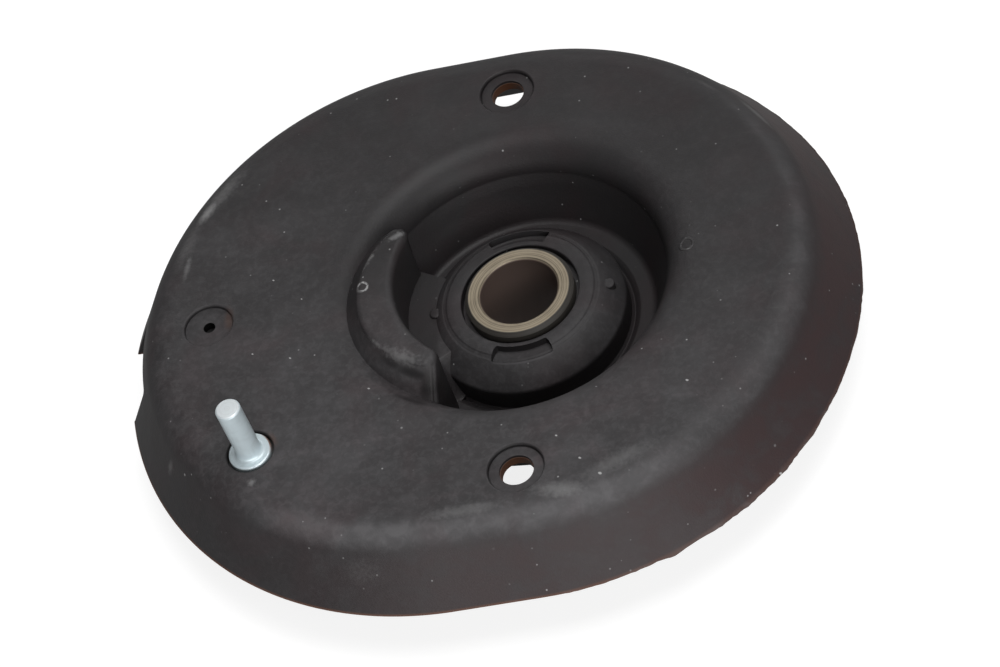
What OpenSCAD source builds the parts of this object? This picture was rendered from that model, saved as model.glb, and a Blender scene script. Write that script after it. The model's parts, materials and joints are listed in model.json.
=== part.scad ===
// Strut mount: an oval pressed plate skinned with rubber, a bonded bush in a central well,
// a steel sleeve for the damper rod, a dish that carries the strut bearing and a locating stud.
// Z runs along the bore, up towards the strut tower. Z = 0 is the bearing seat under the dish.
// X is the long axis of the oval, and the stud stands at its -X end.

/* [Flange] */
// Height of the flange's top face above the bearing seat
flange_h = 38.4; // [36:0.2:44]
// Radius of the flat top round each end of the oval
flat_r = 75; // [74:0.5:84]
// Distance between the centres of the oval's two round ends
oval_shift = 22.6; // [20:0.2:36]
// Outside radius of the bend from the flat top into the skirt
bend_r = 11; // [8:0.5:14]
// Slope of the skirt below the horizontal
skirt_slope = 61; // [52:1:70]
// Drop from the flat top to the skirt's lower edge
skirt_drop = 22; // [18:0.5:28]
// Width of the notch in the -X end of the skirt
notch_w = 24; // [14:1:34]
// Height of that notch above the skirt's lower edge
notch_h = 12.5; // [5:0.5:13]

/* [Sheets] */
// Thickness of the pressed steel plate
plate_t = 2.5; // [2:0.1:3]
// Thickness of the rubber skin over the plate
skin_t = 2; // [1.4:0.1:2.6]
// Depth of the rubber bead that closes the plate's lower edge
bead_h = 2.5; // [1.5:0.1:4]
// Thickness of the rubber lapped up the inside of that edge
lap_t = 3.6; // [2:0.1:4]
// Height of that lap above the skirt's lower edge
lap_h = 7; // [5:0.5:8]

/* [Well] */
// Radius of the well at its throat
throat_r = 42; // [40:0.5:44]
// Radius of the rounded lip that leads into the throat
lip_r = 9.5; // [8:0.5:11]
// Slope of the funnel wall below the horizontal
funnel_slope = 65.6; // [63:0.1:68]
// Bend radius of the plate at the top of the funnel
plate_bend_r = 5; // [4:0.5:7]
// Depth of the plate's lower edge below the flange top
plate_edge_depth = 24; // [22:0.2:25]

/* [Bush] */
// Bore of the sleeve, for the damper rod
bore_d = 22; // [18:0.2:24]
// Outside diameter of the sleeve
sleeve_d = 31; // [28:0.2:32]
// Length of the sleeve above the bearing seat
sleeve_len = 30; // [28:0.2:32]
// Chamfer on the sleeve's upper outside edge
sleeve_chamfer = 1; // [0.4:0.1:1.5]
// Chamfer on the sleeve's upper inside edge
bore_chamfer = 0.6; // [0.2:0.1:1]
// Depth of the collar's flat top below the flange top
collar_depth = 9.8; // [9.2:0.1:11]
// Radius at which the collar's flat top turns down into the dome
collar_r = 18.8; // [18:0.1:19.6]
// Radius of the dome's edge
dome_r = 28.6; // [27.8:0.1:29.2]
// Depth of the dome's edge below the flange top
dome_depth = 17.3; // [16.4:0.1:18.2]
// Depth of the shelf at the funnel's foot below the flange top
shelf_depth = 23.3; // [22.8:0.1:23.6]
// Radius of the shelf's inner edge
shelf_r = 31.2; // [30.9:0.1:31.6]
// Depth of the groove between dome and shelf below the flange top
groove_depth = 25; // [24.8:0.1:25.6]
// Rise of the groove's floor from its middle to its sides
groove_rise = 1; // [0.6:0.1:1.1]
// Width of the ring gap between sleeve and collar
ring_gap = 1.3; // [0.6:0.1:1.6]
// Depth of that ring gap below the collar's top
ring_gap_depth = 3; // [1:0.1:4.5]

/* [Collar pockets and nubs] */
// Inner radius of the two kidney pockets
pocket_in_r = 18.2; // [17.8:0.1:19.5]
// Outer radius of the two kidney pockets
pocket_out_r = 22.8; // [22:0.1:24.5]
// Angle that each pocket spans
pocket_angle = 47; // [30:1:60]
// Depth of the pockets below the collar's top
pocket_depth = 3; // [2:0.1:4]
// Diameter of the two moulded nubs
nub_d = 3.4; // [2.5:0.1:4]
// Distance of the nubs from the bore axis
nub_pitch_r = 24.7; // [24:0.1:25.5]
// Height of the nubs above the dome
nub_h = 0.8; // [0.4:0.1:1.5]

/* [Crescent stop] */
// Direction of the crescent's middle, from +X round the bore
crescent_axis = 191; // [180:1:200]
// Radius of the crescent's hollow front round the bore
crescent_front_r = 32.6; // [32.3:0.1:33]
// Thickness of the crescent at its middle
crescent_t = 11.1; // [10:0.1:11.6]
// Radius of the crescent's back
crescent_back_r = 28.9; // [27:0.1:31]
// Radius of the crescent's rounded tips
crescent_tip_r = 3.1; // [2.6:0.1:3.3]
// Height of the crescent's top above the flange top
crescent_h = 4.5; // [1:0.1:6]
// Depth of the ledge in front of the crescent below the flange top
ledge_depth = 12.5; // [12:0.1:16]
// Direction of the ledge's first end, from +X round the bore
ledge_from = 151; // [151:1:156]
// Direction of the ledge's last end
ledge_to = 218; // [206:1:226]

/* [Fixings] */
// Spacing of the two tower bolts across the bore
bolt_spacing = 132.4; // [130:0.2:134]
// Diameter of the bolt holes in the plate
bolt_hole_d = 9; // [8.4:0.1:10]
// Diameter of the openings in the rubber round the bolt holes
bolt_opening_d = 15.2; // [14:0.1:16]
// Distance of stud and spare stud hole from the bore axis
stud_pitch_r = 87; // [84:0.5:89]
// Direction of the stud, from +X round the bore
stud_angle = 212; // [205:1:220]
// Diameter of the stud
stud_d = 7; // [6:0.1:8]
// Height of the stud above the flange top
stud_h = 20; // [14:0.5:26]
// Chamfer on the stud's tip
stud_chamfer = 0.5; // [0.2:0.1:1]
// Diameter of the stud's collar
stud_collar_d = 12; // [11:0.1:13]
// Height of the stud's collar above the plate
stud_collar_h = 2.2; // [1.4:0.1:3]
// Diameter of the stud's shank in the plate, and of the spare hole
stud_shank_d = 8; // [7:0.1:9]
// Diameter of the riveted head under the plate
stud_rivet_d = 11; // [10:0.1:13]
// Height of the riveted head under the plate
stud_rivet_h = 1.5; // [1:0.1:2.5]
// Clearance between the stud's collar and the rubber, on the radius
stud_gap = 0.5; // [0.2:0.1:1]
// Diameter of the round recess over the spare stud hole
recess_d = 13.8; // [12:0.1:16]
// Depth of that recess
recess_depth = 1.2; // [0.6:0.1:1.3]
// Diameter of the blind pin hole in the recess
pin_hole_d = 3.4; // [2:0.1:4.4]
// Thickness of the rubber left under the pin hole
pin_floor_t = 0.8; // [0.4:0.1:1.2]

/* [Armature dish] */
// Thickness of the dish
dish_t = 2.5; // [2:0.1:3]
// Height of the dish's rim above the bearing seat
dish_h = 14; // [13:0.5:16]
// Slope of the dish's cone below the horizontal
dish_slope = 54.5; // [53:0.5:58]
// Thickness of the rubber between dish and plate
bush_t = 3.6; // [3.2:0.1:4.4]

/* [Hidden] */
$fn = 96;

// Straight pieces that each round stretch of a profile is drawn with
arc_steps = 8;
// Extra length of a cutter past the face it cuts
past = 1;

bore_r = bore_d / 2;
sleeve_r = sleeve_d / 2;
plate_top = flange_h - skin_t;
plate_under = plate_top - plate_t;
rim_z = flange_h - skirt_drop;
lip_start_r = throat_r + lip_r;
collar_z = flange_h - collar_depth;
dome_z = flange_h - dome_depth;
groove_z = flange_h - groove_depth;

// Unit vectors along the funnel, down and inwards, and square to it, down and outwards
funnel_along = [-cos(funnel_slope), -sin(funnel_slope)];
funnel_out = [sin(funnel_slope), -cos(funnel_slope)];
throat = [throat_r, flange_h - lip_r];
plate_throat = throat + skin_t * funnel_out;
// Centre of the plate's bend, tangent to its flat top and to the funnel
plate_bend_z = plate_top - plate_bend_r;
plate_bend_x = plate_throat[0]
    + (plate_bend_r + (plate_throat[1] - plate_bend_z) * funnel_out[1]) / funnel_out[0];
// Circle at which the revolved well meets the oval flange, with a flat land inside it
well_land = 2;
well_edge_r = max(lip_start_r, plate_bend_x) + well_land;

// The same two vectors for the dish's cone
dish_along = [-cos(dish_slope), -sin(dish_slope)];
dish_out = [sin(dish_slope), -cos(dish_slope)];

// Point of a line through p along the funnel, or along the dish, at height z
function on_funnel(p, z) = p + funnel_along * ((z - p[1]) / funnel_along[1]);
function on_dish(p, z) = p + dish_along * ((z - p[1]) / dish_along[1]);
function arc(centre, r, from, to) =
    [for (i = [0:arc_steps]) centre + r * [cos(from + (to - from) * i / arc_steps),
                                           sin(from + (to - from) * i / arc_steps)]];
function reversed(list) = [for (i = [len(list) - 1:-1:0]) list[i]];

plate_edge = on_funnel(plate_throat, flange_h - plate_edge_depth);
plate_edge_under = plate_edge + plate_t * funnel_out;
// Inner corner of the dish's cone, and its rim
dish_line = plate_edge_under + bush_t * dish_out;
dish_corner = on_dish(dish_line, dish_t);
dish_rim = on_dish(dish_line, dish_h);
bush_end = dish_rim - bush_t * dish_out;
shelf_z = flange_h - shelf_depth;
shelf_out_x = on_funnel(throat, shelf_z)[0];
groove_out_x = shelf_r - groove_rise;

// Half section of the skirt's surface at depth d, from the flat top down to height z
function skirt_line(d, z) =
    let (bend = arc([flat_r, flange_h - bend_r], bend_r - d, 90, 90 - skirt_slope),
         end = bend[arc_steps])
    concat(bend, [[end[0] + (end[1] - z) / tan(skirt_slope), z]]);
// Half section of the plate's upper or lower face down the well, from the flange inwards
function plate_well_line(d) =
    concat([[well_edge_r, plate_top - d]],
           arc([plate_bend_x, plate_bend_z], plate_bend_r - d, 90, 90 + funnel_slope),
           [plate_edge + d * funnel_out]);
// Height of the dome's surface at radius r
function dome_height(r) =
    collar_z - (collar_z - dome_z) * pow((r - collar_r) / (dome_r - collar_r), 2);
// Half section of the dome, from its edge up to the collar's flat top
dome_line = [for (i = [arc_steps:-1:0])
    let (r = collar_r + (dome_r - collar_r) * i / arc_steps) [r, dome_height(r)]];

bolt_places = [for (side = [-1, 1]) [0, side * bolt_spacing / 2, 0]];
stud_place = stud_pitch_r * [cos(stud_angle), sin(stud_angle), 0];
recess_place = [-stud_pitch_r, 0, 0];

// Flat oval of end radius r
module oval(r) {
    circle(r = r);
    translate([-oval_shift, 0]) circle(r = r);
    translate([-oval_shift, -r]) square([oval_shift, 2 * r]);
}

// Sweeps a half section round the oval; its x is the distance from the oval's spine
module oval_sweep(section) {
    rotate([0, 0, -90]) rotate_extrude(angle = 180) polygon(section);
    translate([-oval_shift, 0, 0]) rotate([0, 0, 90]) rotate_extrude(angle = 180) polygon(section);
    for (side = [0, 1])
        mirror([0, side, 0]) translate([-oval_shift, 0, 0]) rotate([90, 0, 90])
            linear_extrude(oval_shift) polygon(section);
}

// Flat part of the flange between two heights
module flange_layer(low, high) {
    translate([0, 0, low]) linear_extrude(high - low) difference() {
        oval(flat_r);
        circle(r = well_edge_r);
    }
}

// Block that cuts the notch out of the skirt's -X end
module notch_cutter() {
    reach = skirt_drop + bend_r;
    translate([-oval_shift - flat_r - reach, -notch_w / 2, rim_z - past])
        cube([reach, notch_w, notch_h + past]);
}

// Round cutter through a layer of the flange
module flange_drill(place, d, low, high) {
    translate(place) translate([0, 0, low]) cylinder(d = d, h = high - low);
}

// Centre of the arc of the crescent's back, and of its first tip, with its middle along +X
crescent_back_x = crescent_front_r + crescent_t - crescent_back_r;
tip_pitch_r = crescent_front_r + crescent_tip_r;
tip_x = (pow(tip_pitch_r, 2) + pow(crescent_back_x, 2) - pow(crescent_back_r - crescent_tip_r, 2))
    / (2 * crescent_back_x);
tip_y = sqrt(pow(tip_pitch_r, 2) - pow(tip_x, 2));

// Plan of the crescent, with its middle along +X: two arcs and round tips
module crescent_plan() {
    reach = 2 * crescent_back_r;
    tip_out = reach * [tip_x - crescent_back_x, tip_y] / (crescent_back_r - crescent_tip_r);
    intersection() {
        difference() {
            translate([crescent_back_x, 0]) circle(r = crescent_back_r);
            circle(r = crescent_front_r);
        }
        polygon([[0, 0],
                 [tip_x, -tip_y],
                 [crescent_back_x + tip_out[0], -tip_out[1]],
                 [crescent_back_x + reach, -tip_out[1]],
                 [crescent_back_x + reach, tip_out[1]],
                 [crescent_back_x + tip_out[0], tip_out[1]],
                 [tip_x, tip_y]]);
    }
    for (side = [-1, 1]) translate([tip_x, side * tip_y]) circle(r = crescent_tip_r);
}

// Crescent stop, standing on the plate's funnel and proud of the flange top
module crescent() {
    top_z = flange_h + crescent_h;
    intersection() {
        rotate([0, 0, crescent_axis]) translate([0, 0, groove_z])
            linear_extrude(top_z - groove_z) crescent_plan();
        rotate_extrude() polygon(concat([[0, top_z + past], [well_edge_r, top_z + past]],
                                        plate_well_line(0), [[0, plate_edge[1]]]));
    }
}

// Ledge in front of the crescent, which fills the groove between it and the dome
module ledge() {
    low_z = groove_z - groove_rise / 2;
    in_r = (collar_r + nub_pitch_r) / 2;
    out_r = crescent_front_r + groove_rise / 2;
    rotate([0, 0, ledge_from]) rotate_extrude(angle = ledge_to - ledge_from)
        translate([in_r, low_z]) square([out_r - in_r, flange_h - ledge_depth - low_z]);
}

// Rubber skin of the well, the bush and its dome, as one half section
module bush_section() {
    gap_r = sleeve_r + ring_gap;
    polygon(concat(
        [[well_edge_r, flange_h]],
        arc([lip_start_r, flange_h - lip_r], lip_r, 90, 180),
        [[shelf_out_x, shelf_z],
         [shelf_r, shelf_z],
         [groove_out_x, groove_z + groove_rise],
         [(groove_out_x + dome_r) / 2, groove_z],
         [dome_r, groove_z + groove_rise]],
        dome_line,
        [[gap_r, collar_z], [gap_r, collar_z - ring_gap_depth], [sleeve_r, collar_z - ring_gap_depth]],
        [[sleeve_r, dish_t], dish_corner, dish_rim, bush_end],
        [plate_edge_under],
        reversed(plate_well_line(0))));
}

module rubber_body() {
    sheet_d = skin_t + plate_t;
    lap_corners = [[sheet_d + lap_t, rim_z],
                   [sheet_d + lap_t, rim_z + lap_h],
                   [sheet_d, rim_z + lap_h],
                   [sheet_d, rim_z + bead_h]];
    skirt_skin = concat(skirt_line(0, rim_z),
                        [for (c = lap_corners) skirt_line(c[0], c[1])[arc_steps + 1]],
                        reversed(skirt_line(skin_t, rim_z + bead_h)));
    color([0.16, 0.155, 0.16]) difference() {
        union() {
            flange_layer(plate_top, flange_h);
            oval_sweep(skirt_skin);
            rotate_extrude() bush_section();
            crescent();
            ledge();
            for (side = [-1, 1]) translate([side * nub_pitch_r, 0, dome_z])
                cylinder(d = nub_d, h = dome_height(nub_pitch_r) + nub_h - dome_z);
            flange_drill(recess_place, stud_shank_d, plate_under, plate_top);
        }
        notch_cutter();
        for (turn = [90, 270]) rotate([0, 0, turn - pocket_angle / 2]) rotate_extrude(angle = pocket_angle)
            translate([pocket_in_r, collar_z - pocket_depth])
                square([pocket_out_r - pocket_in_r, pocket_depth + past]);
        for (place = bolt_places) flange_drill(place, bolt_opening_d, plate_top - past, flange_h + past);
        flange_drill(stud_place, stud_collar_d + 2 * stud_gap, plate_top - past, flange_h + past);
        flange_drill(recess_place, recess_d, flange_h - recess_depth, flange_h + past);
        flange_drill(recess_place, pin_hole_d, plate_under + pin_floor_t, flange_h);
    }
}

module carrier_plate() {
    well_section = concat(plate_well_line(0), reversed(plate_well_line(plate_t)));
    skirt_section = concat(skirt_line(skin_t, rim_z + bead_h),
                           reversed(skirt_line(skin_t + plate_t, rim_z + bead_h)));
    color([0.2, 0.19, 0.18]) difference() {
        union() {
            flange_layer(plate_under, plate_top);
            oval_sweep(skirt_section);
            rotate_extrude() polygon(well_section);
        }
        notch_cutter();
        for (place = bolt_places) flange_drill(place, bolt_hole_d, plate_under - past, plate_top + past);
        for (place = [stud_place, recess_place])
            flange_drill(place, stud_shank_d, plate_under - past, plate_top + past);
    }
}

module inner_sleeve() {
    color([0.55, 0.5, 0.42]) rotate_extrude() polygon([
        [bore_r, 0],
        [sleeve_r, 0],
        [sleeve_r, sleeve_len - sleeve_chamfer],
        [sleeve_r - sleeve_chamfer, sleeve_len],
        [bore_r + bore_chamfer, sleeve_len],
        [bore_r, sleeve_len - bore_chamfer]]);
}

module armature_dish() {
    dish_under = dish_corner + dish_t * dish_out;
    color([0.2, 0.19, 0.18]) rotate_extrude() polygon([
        [sleeve_r, 0],
        on_dish(dish_under, 0),
        dish_rim + dish_t * dish_out,
        dish_rim,
        dish_corner,
        [sleeve_r, dish_t]]);
}

module locating_stud() {
    tip_z = flange_h + stud_h;
    collar_top = plate_top + stud_collar_h;
    color([0.72, 0.74, 0.76]) translate(stud_place) rotate_extrude() polygon([
        [0, plate_under - stud_rivet_h],
        [stud_rivet_d / 2, plate_under - stud_rivet_h],
        [stud_rivet_d / 2, plate_under],
        [stud_shank_d / 2, plate_under],
        [stud_shank_d / 2, plate_top],
        [stud_collar_d / 2, plate_top],
        [stud_collar_d / 2, collar_top],
        [stud_d / 2, collar_top],
        [stud_d / 2, tip_z - stud_chamfer],
        [stud_d / 2 - stud_chamfer, tip_z],
        [0, tip_z]]);
}

rubber_body();
carrier_plate();
inner_sleeve();
armature_dish();
locating_stud();
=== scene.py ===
import json
import math

import bmesh
import bpy
from bpy.props import FloatProperty, FloatVectorProperty, IntProperty, PointerProperty
from bpy.types import Operator, Panel, PropertyGroup
from mathutils import Matrix, Vector, noise


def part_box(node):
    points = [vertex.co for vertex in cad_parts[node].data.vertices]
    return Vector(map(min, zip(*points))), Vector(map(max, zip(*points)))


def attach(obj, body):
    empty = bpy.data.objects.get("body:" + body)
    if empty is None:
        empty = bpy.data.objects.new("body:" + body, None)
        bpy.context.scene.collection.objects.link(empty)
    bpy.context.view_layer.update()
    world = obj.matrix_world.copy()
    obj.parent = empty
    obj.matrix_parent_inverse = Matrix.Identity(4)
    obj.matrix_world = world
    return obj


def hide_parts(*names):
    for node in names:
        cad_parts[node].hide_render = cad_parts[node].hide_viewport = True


bl_info = {
    "name": "Strut Mount Looks",
    "version": (1, 0, 0),
    "blender": (4, 5, 0),
    "location": "View3D > Sidebar > Strut Mount",
    "description": "Models the moulded rubber and turned steel of a strut mount round its packed CAD",
    "category": "Object",
}

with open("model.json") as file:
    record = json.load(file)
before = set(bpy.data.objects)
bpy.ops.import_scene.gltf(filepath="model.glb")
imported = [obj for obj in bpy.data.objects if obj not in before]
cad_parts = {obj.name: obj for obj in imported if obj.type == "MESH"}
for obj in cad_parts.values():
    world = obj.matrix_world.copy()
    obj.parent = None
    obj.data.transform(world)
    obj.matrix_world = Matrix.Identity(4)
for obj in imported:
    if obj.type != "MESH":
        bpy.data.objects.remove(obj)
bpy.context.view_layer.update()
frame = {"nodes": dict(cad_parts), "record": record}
MOUNTS = {mount["name"]: mount for mount in frame["record"]["mounts"]}
MM = 0.001
UP = (0.0, 0.0, 1.0)
MERGE_DISTANCE = 1e-6
SHARP_ANGLE = math.radians(38)
NOWHERE = (0.0, 0.0, 0.0)
# Stretch that turns a spot into an upright cylinder
UPRIGHT = (1.0, 1.0, 1e6)
# How far cutters reach past the faces that they open
CUT_PAST = 2 * MM
# The skirt's rim: height of its edge, height of its outermost line, and how far its foot is drawn in
RIM_EDGE_H = 0.8 * MM
RIM_LINE_H = 0.25 * MM
RIM_FOOT_IN = 0.5 * MM
# Roundings of the rubber's moulded corners
FOOT_ROUND = 2.2 * MM
SHELF_ROUND = 0.8 * MM
GROOVE_ROUND = 0.3 * MM
DOME_ROUND = 2.5 * MM
COLLAR_ROUND = 0.45 * MM
LEDGE_ROUND = 1.2 * MM
NUB_ROUND = 0.5 * MM
POCKET_ROUND = 1.7 * MM
NOTCH_ROUND = 1.5 * MM
# Width of the flat ring between the well's mesh and the oval's, and cuts along the oval's straight sides
FLAT_RING_W = 6 * MM
STRAIGHT_CUTS = 14
# Rubber that stays on the plate under the crescent, and the width over which its back begins to lean
CRESCENT_SKIN = 0.9 * MM
LEAN_BAND = 1.5 * MM
# The torn flash, in degrees round the right end: where it begins and ends, where it swells, and its flap
FLASH_FROM = -89
FLASH_TO = 62
FLASH_SWELL = -50
FLASH_FLAP = -67

FLANGE_TOP = MOUNTS["body_face"]["pos_m"][2]
PLATE_TOP = MOUNTS["body_bolts"]["pos_m"][2]
BOLT_SPACING = MOUNTS["body_bolts"]["dims"]["spacing_y_mm"] * MM
BOLT_PLACES = [Vector((0.0, side * BOLT_SPACING / 2, 0.0)) for side in (-1, 1)]
BOLT_HOLE_R = MOUNTS["body_bolts"]["dims"]["hole_r_mm"] * MM
BORE_R = MOUNTS["strut_bore"]["dims"]["r_mm"] * MM
STUD_R = MOUNTS["locating_pin"]["dims"]["r_mm"] * MM
STUD_PLACE = Vector(MOUNTS["locating_pin"]["pos_m"])
SLEEVE_LOW, SLEEVE_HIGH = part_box("inner_sleeve")
STUD_LOW, STUD_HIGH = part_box("locating_stud")


class FlangeSizes(PropertyGroup):
    """Sizes of the oval flange and its skirt"""

    flat_r: FloatProperty(
        name="Flat radius", description="Radius of the flat top round each end of the oval",
        default=0.075, unit="LENGTH", precision=5)
    oval_shift: FloatProperty(
        name="Oval shift", description="Distance between the centres of the oval's round ends",
        default=0.0226, unit="LENGTH", precision=5)
    bend_r: FloatProperty(
        name="Bend radius", description="Radius of the bend from the flat top into the skirt",
        default=0.011, unit="LENGTH", precision=5)
    skirt_slope: FloatProperty(
        name="Skirt slope", description="Slope of the skirt below the horizontal",
        default=math.radians(61), unit="ROTATION", subtype="ANGLE")
    skirt_drop: FloatProperty(
        name="Skirt drop", description="Drop from the flat top to the skirt's lower edge",
        default=0.022, unit="LENGTH", precision=5)
    plate_t: FloatProperty(
        name="Plate thickness", description="Thickness of the pressed plate under the rubber",
        default=0.0025, unit="LENGTH", precision=5)
    bead_h: FloatProperty(
        name="Bead height", description="Depth of the rubber bead round the plate's lower edge",
        default=0.0025, unit="LENGTH", precision=5)
    lap_t: FloatProperty(
        name="Lap thickness", description="Thickness of the rubber lapped up inside the lower edge",
        default=0.0036, unit="LENGTH", precision=5)
    lap_h: FloatProperty(
        name="Lap height", description="Height of that lap above the skirt's lower edge",
        default=0.007, unit="LENGTH", precision=5)
    notch_w: FloatProperty(
        name="Notch width", description="Width of the notch in the skirt's end",
        default=0.024, unit="LENGTH", precision=5)
    notch_h: FloatProperty(
        name="Notch height", description="Height of the notch above the skirt's lower edge",
        default=0.0125, unit="LENGTH", precision=5)
    flash_reach: FloatProperty(
        name="Flash reach", description="How far the torn moulding flash stands out of the rim",
        default=0.0009, unit="LENGTH", precision=5)
    turn_steps: IntProperty(
        name="Turn steps", description="Facets round the whole oval", default=480, min=48)


class WellSizes(PropertyGroup):
    """Sizes of the central well and the bush in it"""

    throat_r: FloatProperty(
        name="Throat radius", description="Radius of the well at its throat",
        default=0.042, unit="LENGTH", precision=5)
    lip_r: FloatProperty(
        name="Lip radius", description="Radius of the rounded lip that leads into the throat",
        default=0.0095, unit="LENGTH", precision=5)
    funnel_slope: FloatProperty(
        name="Funnel slope", description="Slope of the funnel wall below the horizontal",
        default=math.radians(65.6), unit="ROTATION", subtype="ANGLE")
    plate_bend_r: FloatProperty(
        name="Plate bend radius", description="Bend radius of the plate at the top of the funnel",
        default=0.005, unit="LENGTH", precision=5)
    plate_edge_depth: FloatProperty(
        name="Plate edge depth", description="Depth of the plate's lower edge below the flange top",
        default=0.024, unit="LENGTH", precision=5)
    groove_depth: FloatProperty(
        name="Groove depth", description="Depth of the groove round the dome",
        default=0.025, unit="LENGTH", precision=5)
    groove_rise: FloatProperty(
        name="Groove rise", description="Rise of the groove's floor to its sides",
        default=0.001, unit="LENGTH", precision=5)
    shelf_depth: FloatProperty(
        name="Shelf depth", description="Depth of the shelf at the funnel's foot",
        default=0.0233, unit="LENGTH", precision=5)
    shelf_r: FloatProperty(
        name="Shelf radius", description="Radius of the shelf's inner edge",
        default=0.0312, unit="LENGTH", precision=5)
    dome_r: FloatProperty(
        name="Dome radius", description="Radius of the dome's edge",
        default=0.0286, unit="LENGTH", precision=5)
    dome_depth: FloatProperty(
        name="Dome depth", description="Depth of the dome's edge below the flange top",
        default=0.0173, unit="LENGTH", precision=5)
    collar_r: FloatProperty(
        name="Collar radius", description="Radius of the collar's flat top",
        default=0.0188, unit="LENGTH", precision=5)
    collar_depth: FloatProperty(
        name="Collar depth", description="Depth of the collar's flat top below the flange top",
        default=0.0098, unit="LENGTH", precision=5)
    ring_gap: FloatProperty(
        name="Ring gap", description="Width of the ring gap round the sleeve",
        default=0.0013, unit="LENGTH", precision=5)
    ring_gap_depth: FloatProperty(
        name="Ring gap depth", description="Depth of the ring gap",
        default=0.003, unit="LENGTH", precision=5)
    dish_t: FloatProperty(
        name="Dish thickness", description="Thickness of the dish under the bush",
        default=0.0025, unit="LENGTH", precision=5)
    dish_h: FloatProperty(
        name="Dish height", description="Height of the dish's rim above the bearing seat",
        default=0.014, unit="LENGTH", precision=5)
    dish_slope: FloatProperty(
        name="Dish slope", description="Slope of the dish's cone below the horizontal",
        default=math.radians(54.5), unit="ROTATION", subtype="ANGLE")
    bush_t: FloatProperty(
        name="Bush thickness", description="Thickness of the rubber between dish and plate",
        default=0.0036, unit="LENGTH", precision=5)
    pocket_in_r: FloatProperty(
        name="Pocket inner radius", description="Inner radius of the kidney pockets in the collar",
        default=0.0182, unit="LENGTH", precision=5)
    pocket_out_r: FloatProperty(
        name="Pocket outer radius", description="Outer radius of the kidney pockets",
        default=0.0228, unit="LENGTH", precision=5)
    pocket_angle: FloatProperty(
        name="Pocket angle", description="Angle that each kidney pocket spans",
        default=math.radians(47), unit="ROTATION", subtype="ANGLE")
    pocket_depth: FloatProperty(
        name="Pocket depth", description="Depth of the kidney pocket in front",
        default=0.0024, unit="LENGTH", precision=5)
    far_pocket_depth: FloatProperty(
        name="Far pocket depth", description="Depth of the kidney pocket behind",
        default=0.0036, unit="LENGTH", precision=5)
    nub_r: FloatProperty(
        name="Nub radius", description="Radius of the moulded nubs on the dome",
        default=0.0017, unit="LENGTH", precision=5)
    nub_pitch_r: FloatProperty(
        name="Nub pitch radius", description="Distance of the nubs from the bore axis",
        default=0.0247, unit="LENGTH", precision=5)
    nub_h: FloatProperty(
        name="Nub height", description="Height of the nubs above the dome",
        default=0.0008, unit="LENGTH", precision=5)


class CrescentSizes(PropertyGroup):
    """Sizes of the crescent stop and the ledge in front of it"""

    axis: FloatProperty(
        name="Direction", description="Direction of the crescent's middle round the bore",
        default=math.radians(191), unit="ROTATION", subtype="ANGLE")
    front_r: FloatProperty(
        name="Front radius", description="Radius of the hollow front round the bore",
        default=0.0326, unit="LENGTH", precision=5)
    thickness: FloatProperty(
        name="Thickness", description="Thickness of the crescent at its middle",
        default=0.0111, unit="LENGTH", precision=5)
    back_r: FloatProperty(
        name="Back radius", description="Radius of the crescent's back",
        default=0.0289, unit="LENGTH", precision=5)
    tip_r: FloatProperty(
        name="Tip radius", description="Radius of the crescent's tips",
        default=0.0031, unit="LENGTH", precision=5)
    height: FloatProperty(
        name="Height", description="Height of the crescent's top above the flange",
        default=0.0045, unit="LENGTH", precision=5)
    edge_round: FloatProperty(
        name="Edge rounding", description="Rounding of the crescent's top edge",
        default=0.0021, unit="LENGTH", precision=5)
    draft: FloatProperty(
        name="Back draft", description="Lean of the crescent's back, out towards its foot",
        default=math.radians(42), unit="ROTATION", subtype="ANGLE")
    ledge_depth: FloatProperty(
        name="Ledge depth", description="Depth of the ledge below the flange top",
        default=0.0125, unit="LENGTH", precision=5)
    ledge_from: FloatProperty(
        name="Ledge from", description="Direction in which the ledge begins, round the bore",
        default=math.radians(151), unit="ROTATION", subtype="ANGLE")
    ledge_to: FloatProperty(
        name="Ledge to", description="Direction in which the ledge ends, round the bore",
        default=math.radians(218), unit="ROTATION", subtype="ANGLE")
    ramp: FloatProperty(
        name="Ledge ramp", description="Angle over which the ledge's last end runs down to the groove",
        default=math.radians(10), unit="ROTATION", subtype="ANGLE")


class OpeningSizes(PropertyGroup):
    """Sizes of the round openings in the flange's rubber"""

    bolt_r: FloatProperty(
        name="Bolt opening radius", description="Radius of the openings over the bolt holes",
        default=0.0076, unit="LENGTH", precision=5)
    stud_r: FloatProperty(
        name="Stud opening radius", description="Radius of the opening round the stud's collar",
        default=0.0065, unit="LENGTH", precision=5)
    recess_x: FloatProperty(
        name="Recess place", description="Place of the recess along the oval's long axis",
        default=-0.087, unit="LENGTH", precision=5)
    recess_r: FloatProperty(
        name="Recess radius", description="Radius of the shallow recess",
        default=0.0069, unit="LENGTH", precision=5)
    recess_depth: FloatProperty(
        name="Recess depth", description="Depth of the shallow recess",
        default=0.0012, unit="LENGTH", precision=5)
    pin_r: FloatProperty(
        name="Pin hole radius", description="Radius of the pin hole in the recess",
        default=0.0017, unit="LENGTH", precision=5)
    pin_floor_t: FloatProperty(
        name="Pin hole floor", description="Thickness of the rubber under the blind pin hole",
        default=0.0008, unit="LENGTH", precision=5)
    plug_r: FloatProperty(
        name="Plug radius", description="Radius of the rubber plug in the plate's spare hole",
        default=0.004, unit="LENGTH", precision=5)
    film_t: FloatProperty(
        name="Film thickness", description="Thickness of the rubber film on the bolt openings' floors",
        default=0.0008, unit="LENGTH", precision=5)
    edge_round: FloatProperty(
        name="Edge rounding", description="Rounding of the openings' upper edges",
        default=0.0007, unit="LENGTH", precision=5)


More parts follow.
